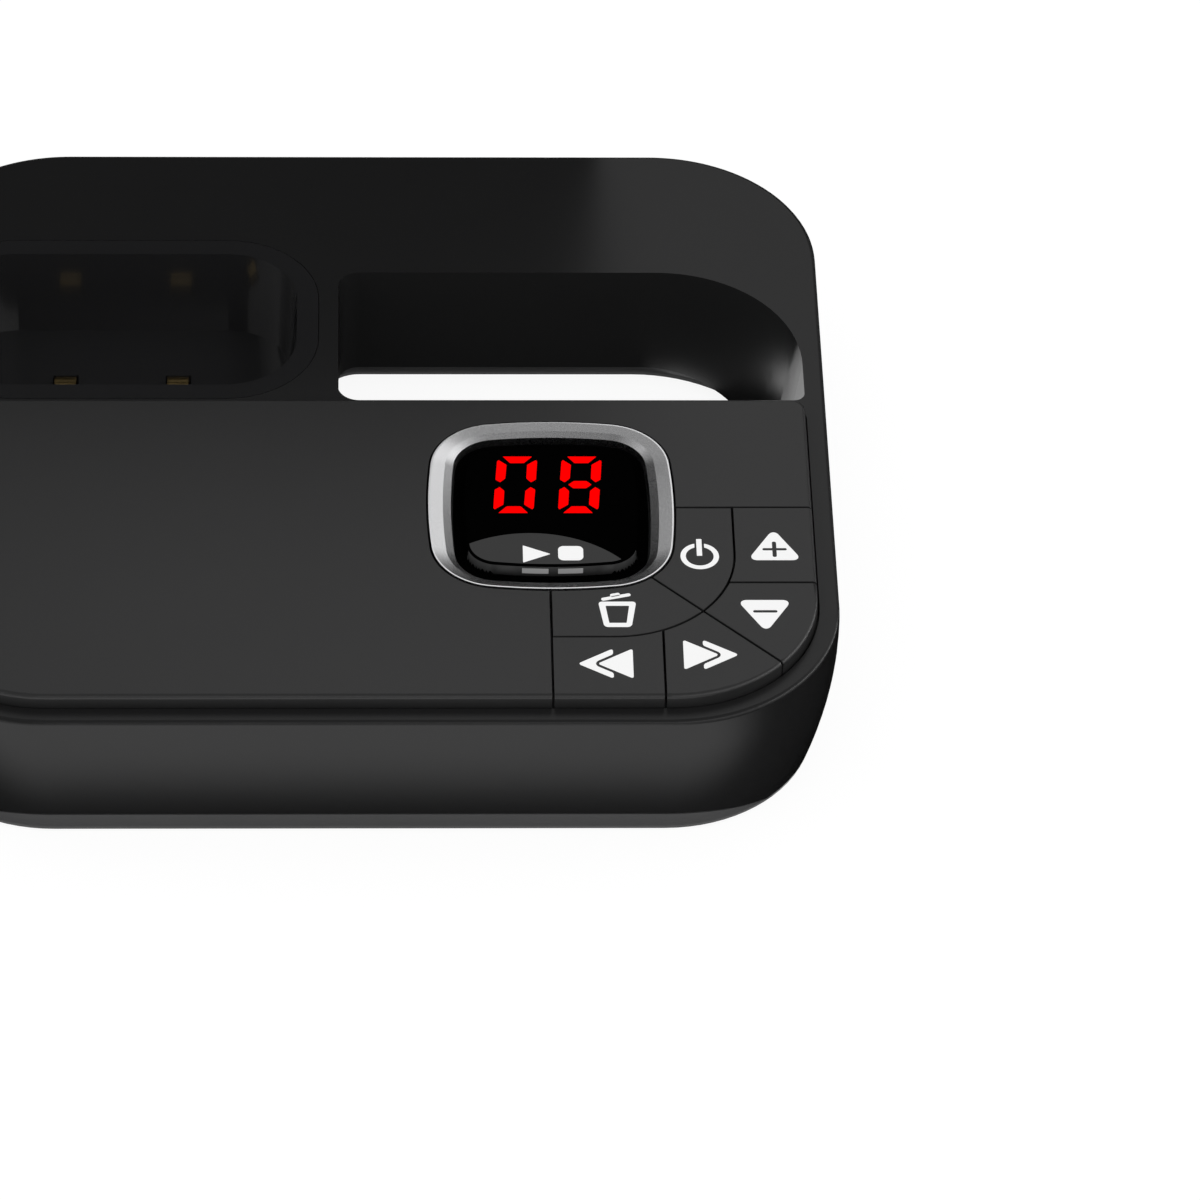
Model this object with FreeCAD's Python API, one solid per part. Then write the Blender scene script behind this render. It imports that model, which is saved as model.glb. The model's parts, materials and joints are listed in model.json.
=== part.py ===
import FreeCAD, Part

import math
import os

from FreeCAD import Vector

# Answering machine base. Millimetres, X to the right, Y to the back, Z up.
# The origin is under the middle of the base, on the surface that it stands on.

# --- body -------------------------------------------------------------------
half_width = 65.0
half_depth = 60.0
corner_radius = 23.2
rim_height = 21.4
foot_proud = 0.5
side_draft = 3.0
front_draft = 1.4
base_corner_radius = 20.8
belly_height = 8.5
belly_share = 0.30
rim_rounding = 0.6
wall = 2.4
ceiling = 2.2

# --- lower shell ------------------------------------------------------------
floor_thickness = 2.0
floor_clearance = 0.2
strip_height = 3.0
strip_knee_inset = 23.0
strip_end_inset = 9.0
parting_gap = 0.25

# --- control deck -----------------------------------------------------------
ledge_width = 3.0
deck_gap = 0.3
deck_depth = 60.7
deck_proud = 2.0
deck_corner_radius = 20.2
deck_back_radius = 2.0
deck_rounding = 0.6
seam_gap = 0.3
key_height = 2.6
cap_thickness = 1.4
cap_wall = 1.1
panel_thickness = 1.8
panel_wall = 1.6

# --- seams between the keys, insets from the deck's right edge, the rest from its front edge ---
key_left_inset = 36.2
key_back = 37.9
volume_seam = 22.6
skip_seam_inset = 21.2
fan_inset = 27.7
fan_centre = 28.4
fan_radius = 16.7
corner_seam_inset = 15.9
corner_seam = 17.1

# --- window, placed like the seams ---------------------------------------------
window_inset = 35.8
window_centre = 38.4
bezel_width = 33.6
bezel_depth = 34.4
bezel_corner = 9.0
bezel_corner_x = 7.43
bezel_corner_y = 7.74
bezel_ring = 3.1
bezel_ease = 0.9
bezel_lip = 0.2
bezel_proud = 0.1
bezel_dish = 0.95
bezel_roll = 0.62
bezel_roll_drop = 0.42
lens_gap = 0.3
lens_drop = 0.1
lens_rise = 1.7
lens_ledge = 1.15
lens_draft = 0.3
lens_edge = 0.25

# --- key carrier, mat and main board -----------------------------------------
key_travel = 0.7
carrier_thickness = 1.8
under_key_gap = 0.5
shelf_width = 2.0
shelf_thickness = 1.5
stem_length = 4.0
stem_width = 2.6
stem_play = 0.2
stem_tip = 0.5
stem_inset = 4.85
stem_reach = 21.6
stem_spread = 16.5
stem_web = 0.8
window_stem_width = 1.56
barb_reach = 0.6
barb_height = 0.9
barb_gap = 0.1
dome_radius = 2.7
dome_height = 1.2
dome_play = 0.2
dome_margin = 0.4
dome_top_radius = 1.35
mat_thickness = 0.8
board_thickness = 1.6
board_side_margin = 5.0
board_front_margin = 6.0
board_back_margin = 5.0
board_corner = 14.0
board_back_corner = 2.0
boss_play = 0.6
mat_reach = 16.2
mat_margin = 0.5
mat_play = 0.3

# --- display module ----------------------------------------------------------
display_width = 22.0
display_depth = 18.0
display_clearance = 0.5
display_proud = 0.2
digit_height = 11.9
digit_width = 5.4
digit_pitch = 8.9
digit_bar = 1.4
bar_gap = 0.3
digit_recess = 0.4

# --- see-through opening behind the deck -------------------------------------
slot_gap = 5.8
rear_housing = 26.5
slot_front_wall = 1.7
slot_wall = 2.0
slot_rim = 2.8
slot_draft = 3.0
slot_corner = 20.0
slot_front_corner = 1.5
slot_left_corner = 3.0
shortest_side = 0.5

# --- handset cradle ------------------------------------------------------------
cradle_inset = 6.2
cradle_width = 50.0
cradle_land = 5.05
cradle_rear = 22.45
cradle_corner = 10.0
cradle_floor = 8.0
cradle_draft = 1.0
cradle_wall = 1.6
flange_width = 1.4
flange_thickness = 1.0
flange_gap = 0.1

# --- charge contacts -------------------------------------------------------------
contact_pitch = 16.0
contact_width = 3.0
contact_thickness = 0.4
contact_radius = 3.0
contact_proud = 1.6
contact_foot = 2.0
contact_travel = 1.2
contact_play = 0.3
block_width = 26.0
block_depth = 17.0

# --- speaker -----------------------------------------------------------------
speaker_x = -25.0
speaker_set_back = 30.0
speaker_radius = 16.0
speaker_headroom = 0.9
speaker_flange = 2.2
magnet_radius = 8.0
magnet_height = 3.0
sheet_metal = 0.6
speaker_ring = 1.2
speaker_ring_height = 2.5
rib_thickness = 1.2
rib_height = 3.0
speaker_play = 0.2
grille_slots = 7
grille_pitch = 3.4
grille_slot = 1.6

# --- fasteners and feet ----------------------------------------------------------
front_boss_inset = 10.5
rear_boss_inset = 14.0
boss_set_back = 13.5
boss_overlap = 0.5
boss_radius = 3.2
pad_radius = 4.6
pad_height = 3.5
screw_radius = 1.3
screw_head_radius = 2.6
screw_head = 1.3
screw_length = 9.0
screw_end_gap = 1.0
screw_play = 0.05
recess_margin = 1.0
recess_width = 0.6
recess_depth = 0.6
head_play = 0.3
head_depth = 1.8
web_thickness = 1.6
web_step = 1.0
standoff_radius = 2.6
post_inset = 18.5
post_gap = 6.0
post_margin = 5.0
outer_post_step = 3.0
board_screw_radius = 1.0
board_screw_length = 6.0
board_head_radius = 2.0
board_head = 1.2
foot_radius = 5.0
foot_thickness = 1.3
foot_play = 0.2
foot_inset = 27.0
foot_set_back = 13.0

# --- rear board and sockets -------------------------------------------------------
rear_board_half = 38.0
rear_board_depth = 13.5
rear_board_margin = 4.0
rear_board_corner = 1.0
rear_post_inset = 3.0
socket_x = -20.0
socket_width = 13.0
socket_height = 11.4
socket_headroom = 0.8
socket_length = 14.0
socket_mouth = 9.8
socket_mouth_height = 6.8
socket_key_width = 4.0
socket_key_height = 2.4
socket_wall = 1.2
socket_set_back = 0.8
socket_pins = 4
socket_pin_pitch = 1.02
socket_pin = 0.45
jack_x = 14.0
jack_width = 9.0
jack_height = 11.0
jack_length = 13.0
jack_bore = 2.8
jack_depth = 9.5
jack_pin = 1.0
jack_pin_set_back = 1.0
jack_collar = 1.1
jack_overlap = 1.0
opening_play = 0.3

# --- parts on the boards ------------------------------------------------------------
shield_inset = 20.0
shield_set_back = 6.0
shield_width = 24.0
shield_depth = 18.0
shield_height = 2.6
shield_sheet = 0.3
chip_height = 1.2
antenna_inset = 21.0
antenna_pitch = 27.0
antenna_set_back = 2.0
antenna_length = 9.0
antenna_height = 3.4
antenna_thickness = 0.4
capacitor_radius = 3.2
capacitor_gap = 1.7
capacitor_set_back = 27.0
capacitor_bevel = 0.5
ribbon_width = 6.4
ribbon_thickness = 0.4
ribbon_gap = 3.6
ribbon_reach = 3.0
ribbon_end = 1.0

# --- chips: inset from the board's left edge, distance from its back edge, width, depth ---
chips = ((20.0, 4.7, 12.0, 12.0), (40.0, 5.7, 8.0, 10.0), (48.0, 20.2, 6.0, 5.0))

# --- places worked out from the sizes above -------------------------------------------
floor_z = foot_proud + floor_thickness
strip_top = foot_proud + strip_height
deck_z = rim_height + deck_proud
deck_front = -half_depth + ledge_width
deck_back = deck_front + deck_depth
deck_half = half_width - ledge_width
key_left = deck_half - key_left_inset
skip_seam = deck_half - skip_seam_inset
fan_centre_x = deck_half - fan_inset
corner_seam_x = deck_half - corner_seam_inset
window_x = deck_half - window_inset
strip_half_length = half_width - strip_knee_inset
strip_end = half_width - strip_end_inset
key_bottom = deck_z - key_height
carrier_top = key_bottom - key_travel - under_key_gap
carrier_bottom = carrier_top - carrier_thickness
shelf_bottom = carrier_bottom - shelf_thickness
stem_bottom = carrier_bottom - barb_gap - barb_height - stem_tip
dome_top = stem_bottom - key_travel - dome_play
board_top = dome_top - dome_height - mat_thickness
board_bottom = board_top - board_thickness
ceiling_z = rim_height - ceiling
slot_front = deck_back + deck_gap + slot_front_wall
opening_front = deck_back + deck_gap
slot_back = half_depth - rear_housing
cradle_x = cradle_inset + cradle_width / 2 - half_width
cradle_front = opening_front + cradle_land
cradle_depth = half_depth - cradle_rear - cradle_front
cradle_y = cradle_front + cradle_depth / 2
slot_left = cradle_x + cradle_width / 2 + slot_gap
tub_bottom = cradle_floor - cradle_wall
window_y = deck_front + window_centre
board_left = board_side_margin - half_width
board_front = deck_front + board_front_margin
board_back = deck_back - board_back_margin
mat_left = window_x - mat_reach
speaker_y = deck_front + speaker_set_back
speaker_height = board_bottom - floor_z - speaker_headroom
case_boss_x = half_width - front_boss_inset
rear_boss_x = half_width - rear_boss_inset
boss_y = half_depth - boss_set_back
rear_board_back = half_depth - rear_board_margin
rear_board_front = rear_board_back - rear_board_depth
rear_board_z = ceiling_z - socket_headroom - socket_height - board_thickness
socket_z = rear_board_z + board_thickness
past = 2.0
hair = 0.01


def rounded(points, radii, z):
    """A closed wire through the points, each corner rounded by its radius."""
    count = len(points)
    tangents = []
    for i in range(count):
        corner = Vector(points[i][0], points[i][1], z)
        before = Vector(points[i - 1][0], points[i - 1][1], z) - corner
        after = Vector(points[(i + 1) % count][0], points[(i + 1) % count][1], z) - corner
        half_angle = before.getAngle(after) / 2
        reach = radii[i] / math.tan(half_angle)
        start = corner + before.normalize() * reach
        end = corner + after.normalize() * reach
        inward = (before + after).normalize()
        middle = corner + inward * (radii[i] / math.sin(half_angle) - radii[i])
        tangents.append((start, middle, end))
    edges = []
    for i in range(count):
        start, middle, end = tangents[i]
        edges.append(Part.Arc(start, middle, end).toShape())
        edges.append(Part.LineSegment(end, tangents[(i + 1) % count][0]).toShape())
    return Part.Wire(edges)


def rectangle(x0, x1, y0, y1, radii, z):
    """A rounded rectangle, corners in the order front left, front right, back right, back left."""
    return rounded([(x0, y0), (x1, y0), (x1, y1), (x0, y1)], radii, z)


def prism(wire, height):
    """A solid of the wire's outline, standing up by height."""
    return Part.Face(wire).extrude(Vector(0, 0, height))


def box(x0, x1, y0, y1, z0, z1):
    """A box between two corners."""
    return Part.makeBox(x1 - x0, y1 - y0, z1 - z0, Vector(x0, y0, z0))


def post(x, y, radius, z0, z1):
    """An upright cylinder."""
    return Part.makeCylinder(radius, z1 - z0, Vector(x, y, z0))


def squircle(inset, z, ease=0):
    """The bezel's outline moved in by an inset, and eased out again to the front and the back."""
    a, b, corner = bezel_corner_x, bezel_corner_y + ease, bezel_corner
    reach_x, reach_y = bezel_width / 2, bezel_depth / 2 + ease
    side = bulge_radius(b, a, reach_x)
    end = bulge_radius(a, b, reach_y)
    side_x, side_y = unit(a - reach_x + side, b)
    end_x, end_y = unit(a, b - reach_y + end)
    middle_x, middle_y = unit(side_x + end_x, side_y + end_y)
    radius = corner - inset
    edges = []
    for flip_x, flip_y in ((1, 1), (-1, 1), (-1, -1), (1, -1)):
        first = window_point(flip_x * (a + radius * side_x), flip_y * (b + radius * side_y), z)
        middle = window_point(flip_x * (a + radius * middle_x), flip_y * (b + radius * middle_y), z)
        last = window_point(flip_x * (a + radius * end_x), flip_y * (b + radius * end_y), z)
        bulge = window_point(0, flip_y * (reach_y - inset), z)
        cheek = window_point(-flip_x * (reach_x - inset), 0, z)
        if flip_x * flip_y > 0:
            far = window_point(-flip_x * (a + radius * end_x), flip_y * (b + radius * end_y), z)
            edges += [Part.Arc(first, middle, last).toShape(), Part.Arc(last, bulge, far).toShape()]
        else:
            far = window_point(flip_x * (a + radius * side_x), -flip_y * (b + radius * side_y), z)
            cheek = window_point(flip_x * (reach_x - inset), 0, z)
            edges += [Part.Arc(last, middle, first).toShape(), Part.Arc(first, cheek, far).toShape()]
    return Part.Wire(edges)


def bulge_radius(along, across, reach):
    """Radius of a side that runs smoothly into both corners and reaches out to its middle."""
    gap = reach - across
    return (along * along + gap * gap - bezel_corner ** 2) / (2 * (gap - bezel_corner))


def unit(x, y):
    """The direction of a flat vector."""
    length = math.hypot(x, y)
    return x / length, y / length


def window_point(x, y, z):
    """A point given from the middle of the window."""
    return Vector(window_x + x, window_y + y, z)


def join(shapes):
    """One solid of several that touch or overlap."""
    return shapes[0].fuse(shapes[1:]).removeSplitter()


def write(name, shape):
    """Write one part of the assembly."""
    shape.exportStep("parts/" + name + ".step")
    print(name, len(shape.Solids), round(shape.Volume, 1), shape.isValid())


# --- casing ----------------------------------------------------------------------------
def body_outline(z, inset):
    """The body's outline at a height, moved in by an inset."""
    share = belly_share if z == belly_height else (0.0 if z >= rim_height else 1.0)
    x = half_width - side_draft * share - inset
    y = half_depth - front_draft * share - inset
    radius = corner_radius + (base_corner_radius - corner_radius) * share - inset
    return x, y, radius


def body_section(z, inset):
    """A level section of the body."""
    x, y, radius = body_outline(z, inset)
    return rectangle(-x, x, -y, y, [radius] * 4, z)


def body(inset):
    """The body from its base to the rim, moved in by an inset."""
    sections = [body_section(z, inset) for z in (foot_proud, belly_height, rim_height)]
    return Part.makeLoft(sections, True, inset > 0)


def slot_side(z):
    """Where the opening's right wall stands at a height."""
    return half_width - slot_rim - slot_draft * (rim_height - z) / rim_height


def slot_section(z, offset):
    """A level section of the see-through opening, grown by an offset."""
    room = slot_back - slot_front - slot_front_corner - shortest_side
    radii = [slot_left_corner, slot_front_corner, min(slot_corner, room), slot_left_corner]
    return rectangle(slot_left - offset, slot_side(z) + offset, slot_front - offset,
                     slot_back + offset, [r + offset for r in radii], z)


def slot(offset):
    """The see-through opening as a solid, grown by an offset."""
    ends = [slot_section(z, offset) for z in (foot_proud - past, rim_height + past)]
    return Part.makeLoft(ends, True, True)


def deck_outline(offset, z):
    """The deck's outline at a height, grown by an offset."""
    front, back = deck_corner_radius + offset, max(deck_back_radius + offset, shortest_side)
    return rectangle(-deck_half - offset, deck_half + offset, deck_front - offset,
                     deck_back + offset, [front, front, back, back], z)


def strip_region(lift):
    """The space under the parting line, which rises from the base at both ends."""
    top, bottom = strip_top + lift, foot_proud - past
    run, rise = strip_end - strip_half_length, strip_height
    radius = (run * run + rise * rise) / (2 * rise)
    half = math.atan2(rise, run)
    knee_x = strip_half_length + radius * math.sin(half)
    knee_z = top - radius * (1 - math.cos(half))
    end = Vector(strip_end, -half_depth - past, top - rise)
    mirror = Vector(-strip_end, -half_depth - past, top - rise)
    left = Vector(-strip_half_length, -half_depth - past, top)
    right = Vector(strip_half_length, -half_depth - past, top)
    low_left = Vector(-strip_end, -half_depth - past, bottom)
    low_right = Vector(strip_end, -half_depth - past, bottom)
    edges = [Part.LineSegment(left, right).toShape(),
             Part.Arc(right, Vector(knee_x, -half_depth - past, knee_z), end).toShape(),
             Part.LineSegment(end, low_right).toShape(),
             Part.LineSegment(low_right, low_left).toShape(),
             Part.LineSegment(low_left, mirror).toShape(),
             Part.Arc(mirror, Vector(-knee_x, -half_depth - past, knee_z), left).toShape()]
    return Part.Face(Part.Wire(edges)).extrude(Vector(0, 2 * (half_depth + past), 0))


def cradle_section(z, offset):
    """A level section of the handset's pocket, grown by an offset."""
    draft = cradle_draft * (rim_height - z) / (rim_height - cradle_floor)
    x = cradle_width / 2 - draft + offset
    y = cradle_depth / 2 - draft + offset
    radius = min(cradle_corner - draft + offset, y - shortest_side)
    return rectangle(cradle_x - x, cradle_x + x, cradle_y - y, cradle_y + y, [radius] * 4, z)


def case_bosses():
    """Centres of the four screws that hold the lower shell."""
    front = [(side * case_boss_x, -boss_y) for side in (-1, 1)]
    rear = [(side * rear_boss_x, boss_y) for side in (-1, 1)]
    return front + rear


def casing_cavity():
    """The hollow inside the casing, with the shelf for the key carrier left standing."""
    hollow = body(wall)
    low = box(-half_width, half_width, -half_depth, opening_front, -past, shelf_bottom)
    high = box(-half_width, half_width, opening_front, half_depth, -past, ceiling_z)
    hollow = hollow.common(join([low, high]))
    return hollow.cut(slot(slot_wall))


def casing_boss(x, y, top):
    """A screw boss, with a web that ties it to the corner of the wall."""
    bottom = foot_proud + pad_height
    web = box(0, wall + boss_radius * 2, -web_thickness / 2, web_thickness / 2,
              bottom + web_step, top)
    web.rotate(Vector(0, 0, 0), Vector(0, 0, 1), math.degrees(math.atan2(y, x)))
    web.translate(Vector(x, y, 0))
    return [post(x, y, boss_radius, bottom, top), web]


def upper_casing():
    """The upper casing: wall, ledge, opening, rear housing and the seat of the cradle."""
    outer = body(0)
    rim = [e for e in outer.Edges if min(v.Z for v in e.Vertexes) > rim_height - hair]
    outer = outer.makeFillet(rim_rounding, rim)
    shell = outer.cut(casing_cavity())
    bosses = []
    for x, y in case_bosses():
        top = shelf_bottom if y < 0 else ceiling_z
        bosses += casing_boss(x, y, top + boss_overlap)
    bosses = join(bosses).common(body(wall / 2))
    shell = join([shell, bosses])
    holes = [post(x, y, screw_radius + screw_play, 0, foot_proud + pad_height + screw_length)
             for x, y in case_bosses()]
    shelf = prism(deck_outline(-shelf_width, shelf_bottom - past), shelf_thickness + past * 2)
    deck = prism(deck_outline(deck_gap, carrier_bottom), rim_height)
    tub = prism(cradle_section(rim_height, cradle_wall + flange_gap), -rim_height)
    rebate = prism(cradle_section(rim_height, cradle_wall + flange_width + flange_gap),
                   -flange_thickness)
    cuts = [slot(0), strip_region(parting_gap), shelf, deck, tub, rebate]
    return shell.cut(cuts + holes + socket_windows())


def socket_windows():
    """Openings in the back wall for the line socket and the power jack."""
    line = box(socket_x - socket_width / 2 - opening_play, socket_x + socket_width / 2 + opening_play,
               half_depth - wall * 2, half_depth + past, socket_z - opening_play,
               socket_z + socket_height + opening_play)
    jack = Part.makeCylinder(jack_bore + jack_collar + opening_play, wall * 2 + past,
                             Vector(jack_x, half_depth - wall * 2, socket_z + jack_height / 2),
                             Vector(0, 1, 0))
    return [line, jack]


def standoffs():
    """Centres of the posts under the main board, the screwed ones first."""
    back, front = board_back - post_margin, board_front + post_margin
    outer, middle = half_width - post_inset, mat_left - post_gap
    screwed = [(-outer, front + outer_post_step), (-outer, back), (middle, front), (middle, back)]
    plain = [(outer, back), (outer, front + outer_post_step)]
    return screwed, plain


def rib(start, end):
    """A low rib on the floor between two posts."""
    across, along = end[0] - start[0], end[1] - start[1]
    bar = box(0, math.hypot(across, along), -rib_thickness / 2, rib_thickness / 2,
              foot_proud, floor_z + rib_height)
    bar.rotate(Vector(0, 0, 0), Vector(0, 0, 1), math.degrees(math.atan2(along, across)))
    bar.translate(Vector(start[0], start[1], 0))
    return bar


def floor_ribs():
    """The ribs that tie the main board's posts together."""
    screwed, plain = standoffs()
    left_front, left_back, middle_front, middle_back = screwed
    right_back, right_front = plain
    pairs = [(left_front, left_back), (middle_front, middle_back), (right_front, right_back),
             (middle_front, right_front), (middle_back, right_back)]
    return [rib(start, end) for start, end in pairs]


def lower_shell():
    """The lower shell: floor, front and back strips, pads, posts, ribs, speaker ring and grille."""
    x, y, radius = body_outline(foot_proud, wall + floor_clearance)
    plate = prism(rectangle(-x, x, -y, y, [radius] * 4, foot_proud), floor_thickness)
    strips = body(0).common(strip_region(0))
    pocket = body(wall).common(box(-half_width, half_width, -half_depth, half_depth,
                                   floor_z, rim_height))
    base = join([plate, strips]).cut(pocket)
    posts = [post(px, py, pad_radius, foot_proud, foot_proud + pad_height) for px, py in case_bosses()]
    screwed, plain = standoffs()
    posts += [post(px, py, standoff_radius, foot_proud, board_bottom) for px, py in screwed + plain]
    posts += [post(px, py, standoff_radius, foot_proud, rear_board_z) for px, py in rear_posts()]
    ring = post(speaker_x, speaker_y, speaker_radius + speaker_play + speaker_ring,
                foot_proud, floor_z + speaker_ring_height)
    ring = ring.cut(post(speaker_x, speaker_y, speaker_radius + speaker_play, floor_z, rim_height))
    base = join([base] + posts + floor_ribs() + [ring])
    base = base.common(join([body(wall + floor_clearance), strips]))
    cuts = [slot(slot_wall + floor_clearance)]
    cuts += [post(px, py, screw_radius + head_play, 0, rim_height) for px, py in case_bosses()]
    cuts += [post(px, py, screw_head_radius + head_play, 0, foot_proud + head_depth)
             for px, py in case_bosses()]
    cuts += [post(px, py, foot_radius + foot_play, 0, foot_thickness) for px, py in feet()]
    cuts += [post(px, py, board_screw_radius + screw_play, board_bottom - board_screw_length,
                  rim_height) for px, py in screwed]
    return base.cut(cuts + grille())


def grille():
    """Slots in the floor under the speaker, longer in the middle."""
    slots, end = [], grille_slot / 2 - hair
    for i in range(grille_slots):
        y = (i - (grille_slots - 1) / 2) * grille_pitch
        reach = math.sqrt((speaker_radius - speaker_flange) ** 2 - y * y) - grille_slot
        wire = rectangle(speaker_x - reach, speaker_x + reach, speaker_y + y - grille_slot / 2,
                         speaker_y + y + grille_slot / 2, [end] * 4, 0)
        slots.append(prism(wire, rim_height / 2))
    return slots


# --- deck, keys and window ------------------------------------------------------------------
def seam_line(x0, y0, x1, y1, inset):
    """A narrow cut along a line, given from the deck's front edge, with a margin on both sides."""
    length = math.hypot(x1 - x0, y1 - y0)
    half = seam_gap / 2 + inset
    cut = box(-inset, length + inset, -half, half, 0, deck_z + past)
    cut.rotate(Vector(0, 0, 0), Vector(0, 0, 1), math.degrees(math.atan2(y1 - y0, x1 - x0)))
    cut.translate(Vector(x0, deck_front + y0, 0))
    return cut


def fan_arc(inset):
    """The curved cut between the inner and the outer keys, with a margin on both sides."""
    y = deck_front + fan_centre
    half = seam_gap / 2 + inset
    ring = post(fan_centre_x, y, fan_radius + half, 0, deck_z + past)
    ring = ring.cut(post(fan_centre_x, y, fan_radius - half, 0, deck_z + past))
    return ring.common(box(fan_centre_x, deck_half, deck_front, y, 0, deck_z + past))


def seams(inset):
    """All cuts between the keys and the panel, with a margin on both sides."""
    right = deck_half + past
    fan_x = fan_centre_x + fan_radius
    fan_y = fan_centre - fan_radius
    volume_x = fan_centre_x + math.sqrt(fan_radius ** 2 - (fan_centre - volume_seam) ** 2)
    skip_y = fan_centre - math.sqrt(fan_radius ** 2 - (skip_seam - fan_centre_x) ** 2)
    out = corner_seam + past
    lines = [(window_x, key_back, right, key_back),
             (key_left, -past, key_left, window_centre),
             (fan_x, key_back, fan_x, fan_centre),
             (key_left, fan_y, fan_centre_x, fan_y),
             (volume_x, volume_seam, right, volume_seam),
             (skip_seam, skip_y, skip_seam, -past),
             (corner_seam_x - out / 2, corner_seam + out / 2, corner_seam_x + out, corner_seam - out)]
    return [seam_line(*line, inset) for line in lines] + [fan_arc(inset)]


def window_hole(margin):
    """The space that the window takes out of the deck, with a margin round the bezel."""
    return prism(squircle(-margin, 0), deck_z + past)


def deck_pieces(bottom):
    """The deck from a lower level up to its face, cut apart along the seams."""
    block = prism(deck_outline(0, bottom), deck_z - bottom)
    top = [e for e in block.Edges if min(v.Z for v in e.Vertexes) > deck_z - hair]
    block = block.makeFillet(deck_rounding, top)
    return block.cut([window_hole(seam_gap)] + seams(0)).Solids


def deck_pockets(bottom, margin, skin):
    """The hollows under the deck's pieces, which leave a skin above and a margin beside them."""
    block = prism(deck_outline(-margin, bottom), deck_z - skin - bottom)
    return block.cut([window_hole(seam_gap + margin)] + seams(margin)).Solids


def pick(solids, x, y):
    """The piece of the deck over a point, given from the deck's front edge."""
    probe = Part.makeLine(Vector(x, deck_front + y, 0), Vector(x, deck_front + y, deck_z))
    return [s for s in solids if s.common(probe).Edges][0]


def key_spots():
    """The middle of each key's stem, given from the deck's front edge."""
    near, far = math.radians(45 - stem_spread), math.radians(45 + stem_spread)
    right = half_width - board_side_margin - mat_margin - dome_radius - dome_margin
    front = board_front_margin + mat_margin + dome_radius + dome_margin
    return {"power_key": (fan_centre_x + fan_radius - stem_inset, fan_centre),
            "delete_key": (fan_centre_x, fan_centre - fan_radius + stem_inset),
            "volume_up_key": (right, (volume_seam + key_back) / 2),
            "volume_down_key": (fan_centre_x + stem_reach * math.cos(near),
                                fan_centre - stem_reach * math.sin(near)),
            "forward_key": (fan_centre_x + stem_reach * math.cos(far),
                            fan_centre - stem_reach * math.sin(far)),
            "rewind_key": ((key_left + skip_seam) / 2, front)}


def window_stems():
    """The middle of each stem of the window key, given from the deck's front edge."""
    reach = display_depth / 2 + display_clearance + stem_web + stem_play + window_stem_width / 2
    return [(window_x, window_centre - reach), (window_x, window_centre + reach)]


def stem(x, y, width, top):
    """A key's stem with two barbs that catch under the carrier."""
    y += deck_front
    shaft = box(x - stem_length / 2, x + stem_length / 2, y - width / 2, y + width / 2,
                stem_bottom, top)
    reach = stem_length / 2 + barb_reach
    barb = box(x - reach, x + reach, y - width / 2, y + width / 2,
               carrier_bottom - barb_gap - barb_height, carrier_bottom - barb_gap)
    return join([shaft, barb])


def key(caps, pockets, name):
    """One key: its hollow cap and its stem."""
    x, y = key_spots()[name]
    cap = pick(caps, x, y).cut(pick(pockets, x, y))
    return join([cap, stem(x, y, stem_width, deck_z - cap_thickness)])


def control_panel():
    """The plate left of the keys and behind them, on a wall that stands on the carrier."""
    x, y = key_left / 2, key_left / 2
    plate = pick(deck_pieces(carrier_top), x, y)
    return plate.cut(pick(deck_pockets(carrier_top, panel_wall, panel_thickness), x, y))


def bezel():
    """The ring round the window, rolled over and down towards the lens."""
    top = deck_z + bezel_proud
    ring = prism(squircle(0, carrier_top), top - carrier_top)
    ring = ring.cut(prism(squircle(bezel_ring, 0, bezel_ease), deck_z + past))
    inner = bezel_lip + (bezel_ring - bezel_lip) * bezel_roll
    sections = [squircle(bezel_lip, top),
                squircle(inner, top - bezel_dish * bezel_roll_drop, bezel_ease * bezel_roll),
                squircle(bezel_ring, top - bezel_dish, bezel_ease)]
    return ring.cut(Part.makeLoft(sections, True, True))


def window_key():
    """The window key: a lens that stands up from a ledge, on two stems."""
    inset = bezel_ring + lens_gap
    top = deck_z - lens_drop
    knee = top - lens_rise
    base = prism(squircle(inset, key_bottom, bezel_ease), knee - key_bottom)
    foot = inset + lens_ledge
    brow = foot + lens_draft
    crown = Part.makeLoft([squircle(foot, knee), squircle(brow, top - lens_edge),
                           squircle(brow + lens_edge, top)], True, True)
    stems = [stem(x, y, window_stem_width, knee) for x, y in window_stems()]
    return join([base, crown] + stems)


def key_carrier():
    """The inner plate that guides the stems and carries the panel and the bezel."""
    plate = prism(deck_outline(0, carrier_bottom), carrier_thickness)
    spots = [(x, y, stem_width) for x, y in key_spots().values()]
    spots += [(x, y, window_stem_width) for x, y in window_stems()]
    holes = []
    for x, y, width in spots:
        long, wide = stem_length / 2 + stem_play, width / 2 + stem_play
        holes.append(box(x - long, x + long, deck_front + y - wide, deck_front + y + wide,
                         carrier_bottom - past, carrier_top + past))
    long, wide = display_width / 2 + display_clearance, display_depth / 2 + display_clearance
    holes.append(box(window_x - long, window_x + long, window_y - wide, window_y + wide,
                     carrier_bottom - past, carrier_top + past))
    return plate.cut(holes)


def keypad_mat():
    """The silicone mat on the board, with a dome under each stem."""
    corners = [board_back_corner, board_corner, board_back_corner, board_back_corner]
    mat = prism(rectangle(mat_left, -board_left - mat_margin, board_front + mat_margin,
                          board_back - mat_margin, corners, board_top), mat_thickness)
    domes = []
    for x, y in list(key_spots().values()) + window_stems():
        spot = Vector(x, deck_front + y, board_top + mat_thickness)
        domes.append(Part.makeCone(dome_radius, dome_top_radius, dome_height, spot))
    long, wide = display_width / 2 + mat_play, display_depth / 2 + mat_play
    hole = box(window_x - long, window_x + long, window_y - wide, window_y + wide, 0, rim_height)
    notch = post(case_boss_x, -boss_y, boss_radius + boss_play, 0, rim_height)
    return join([mat] + domes).cut([hole, notch])


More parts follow.
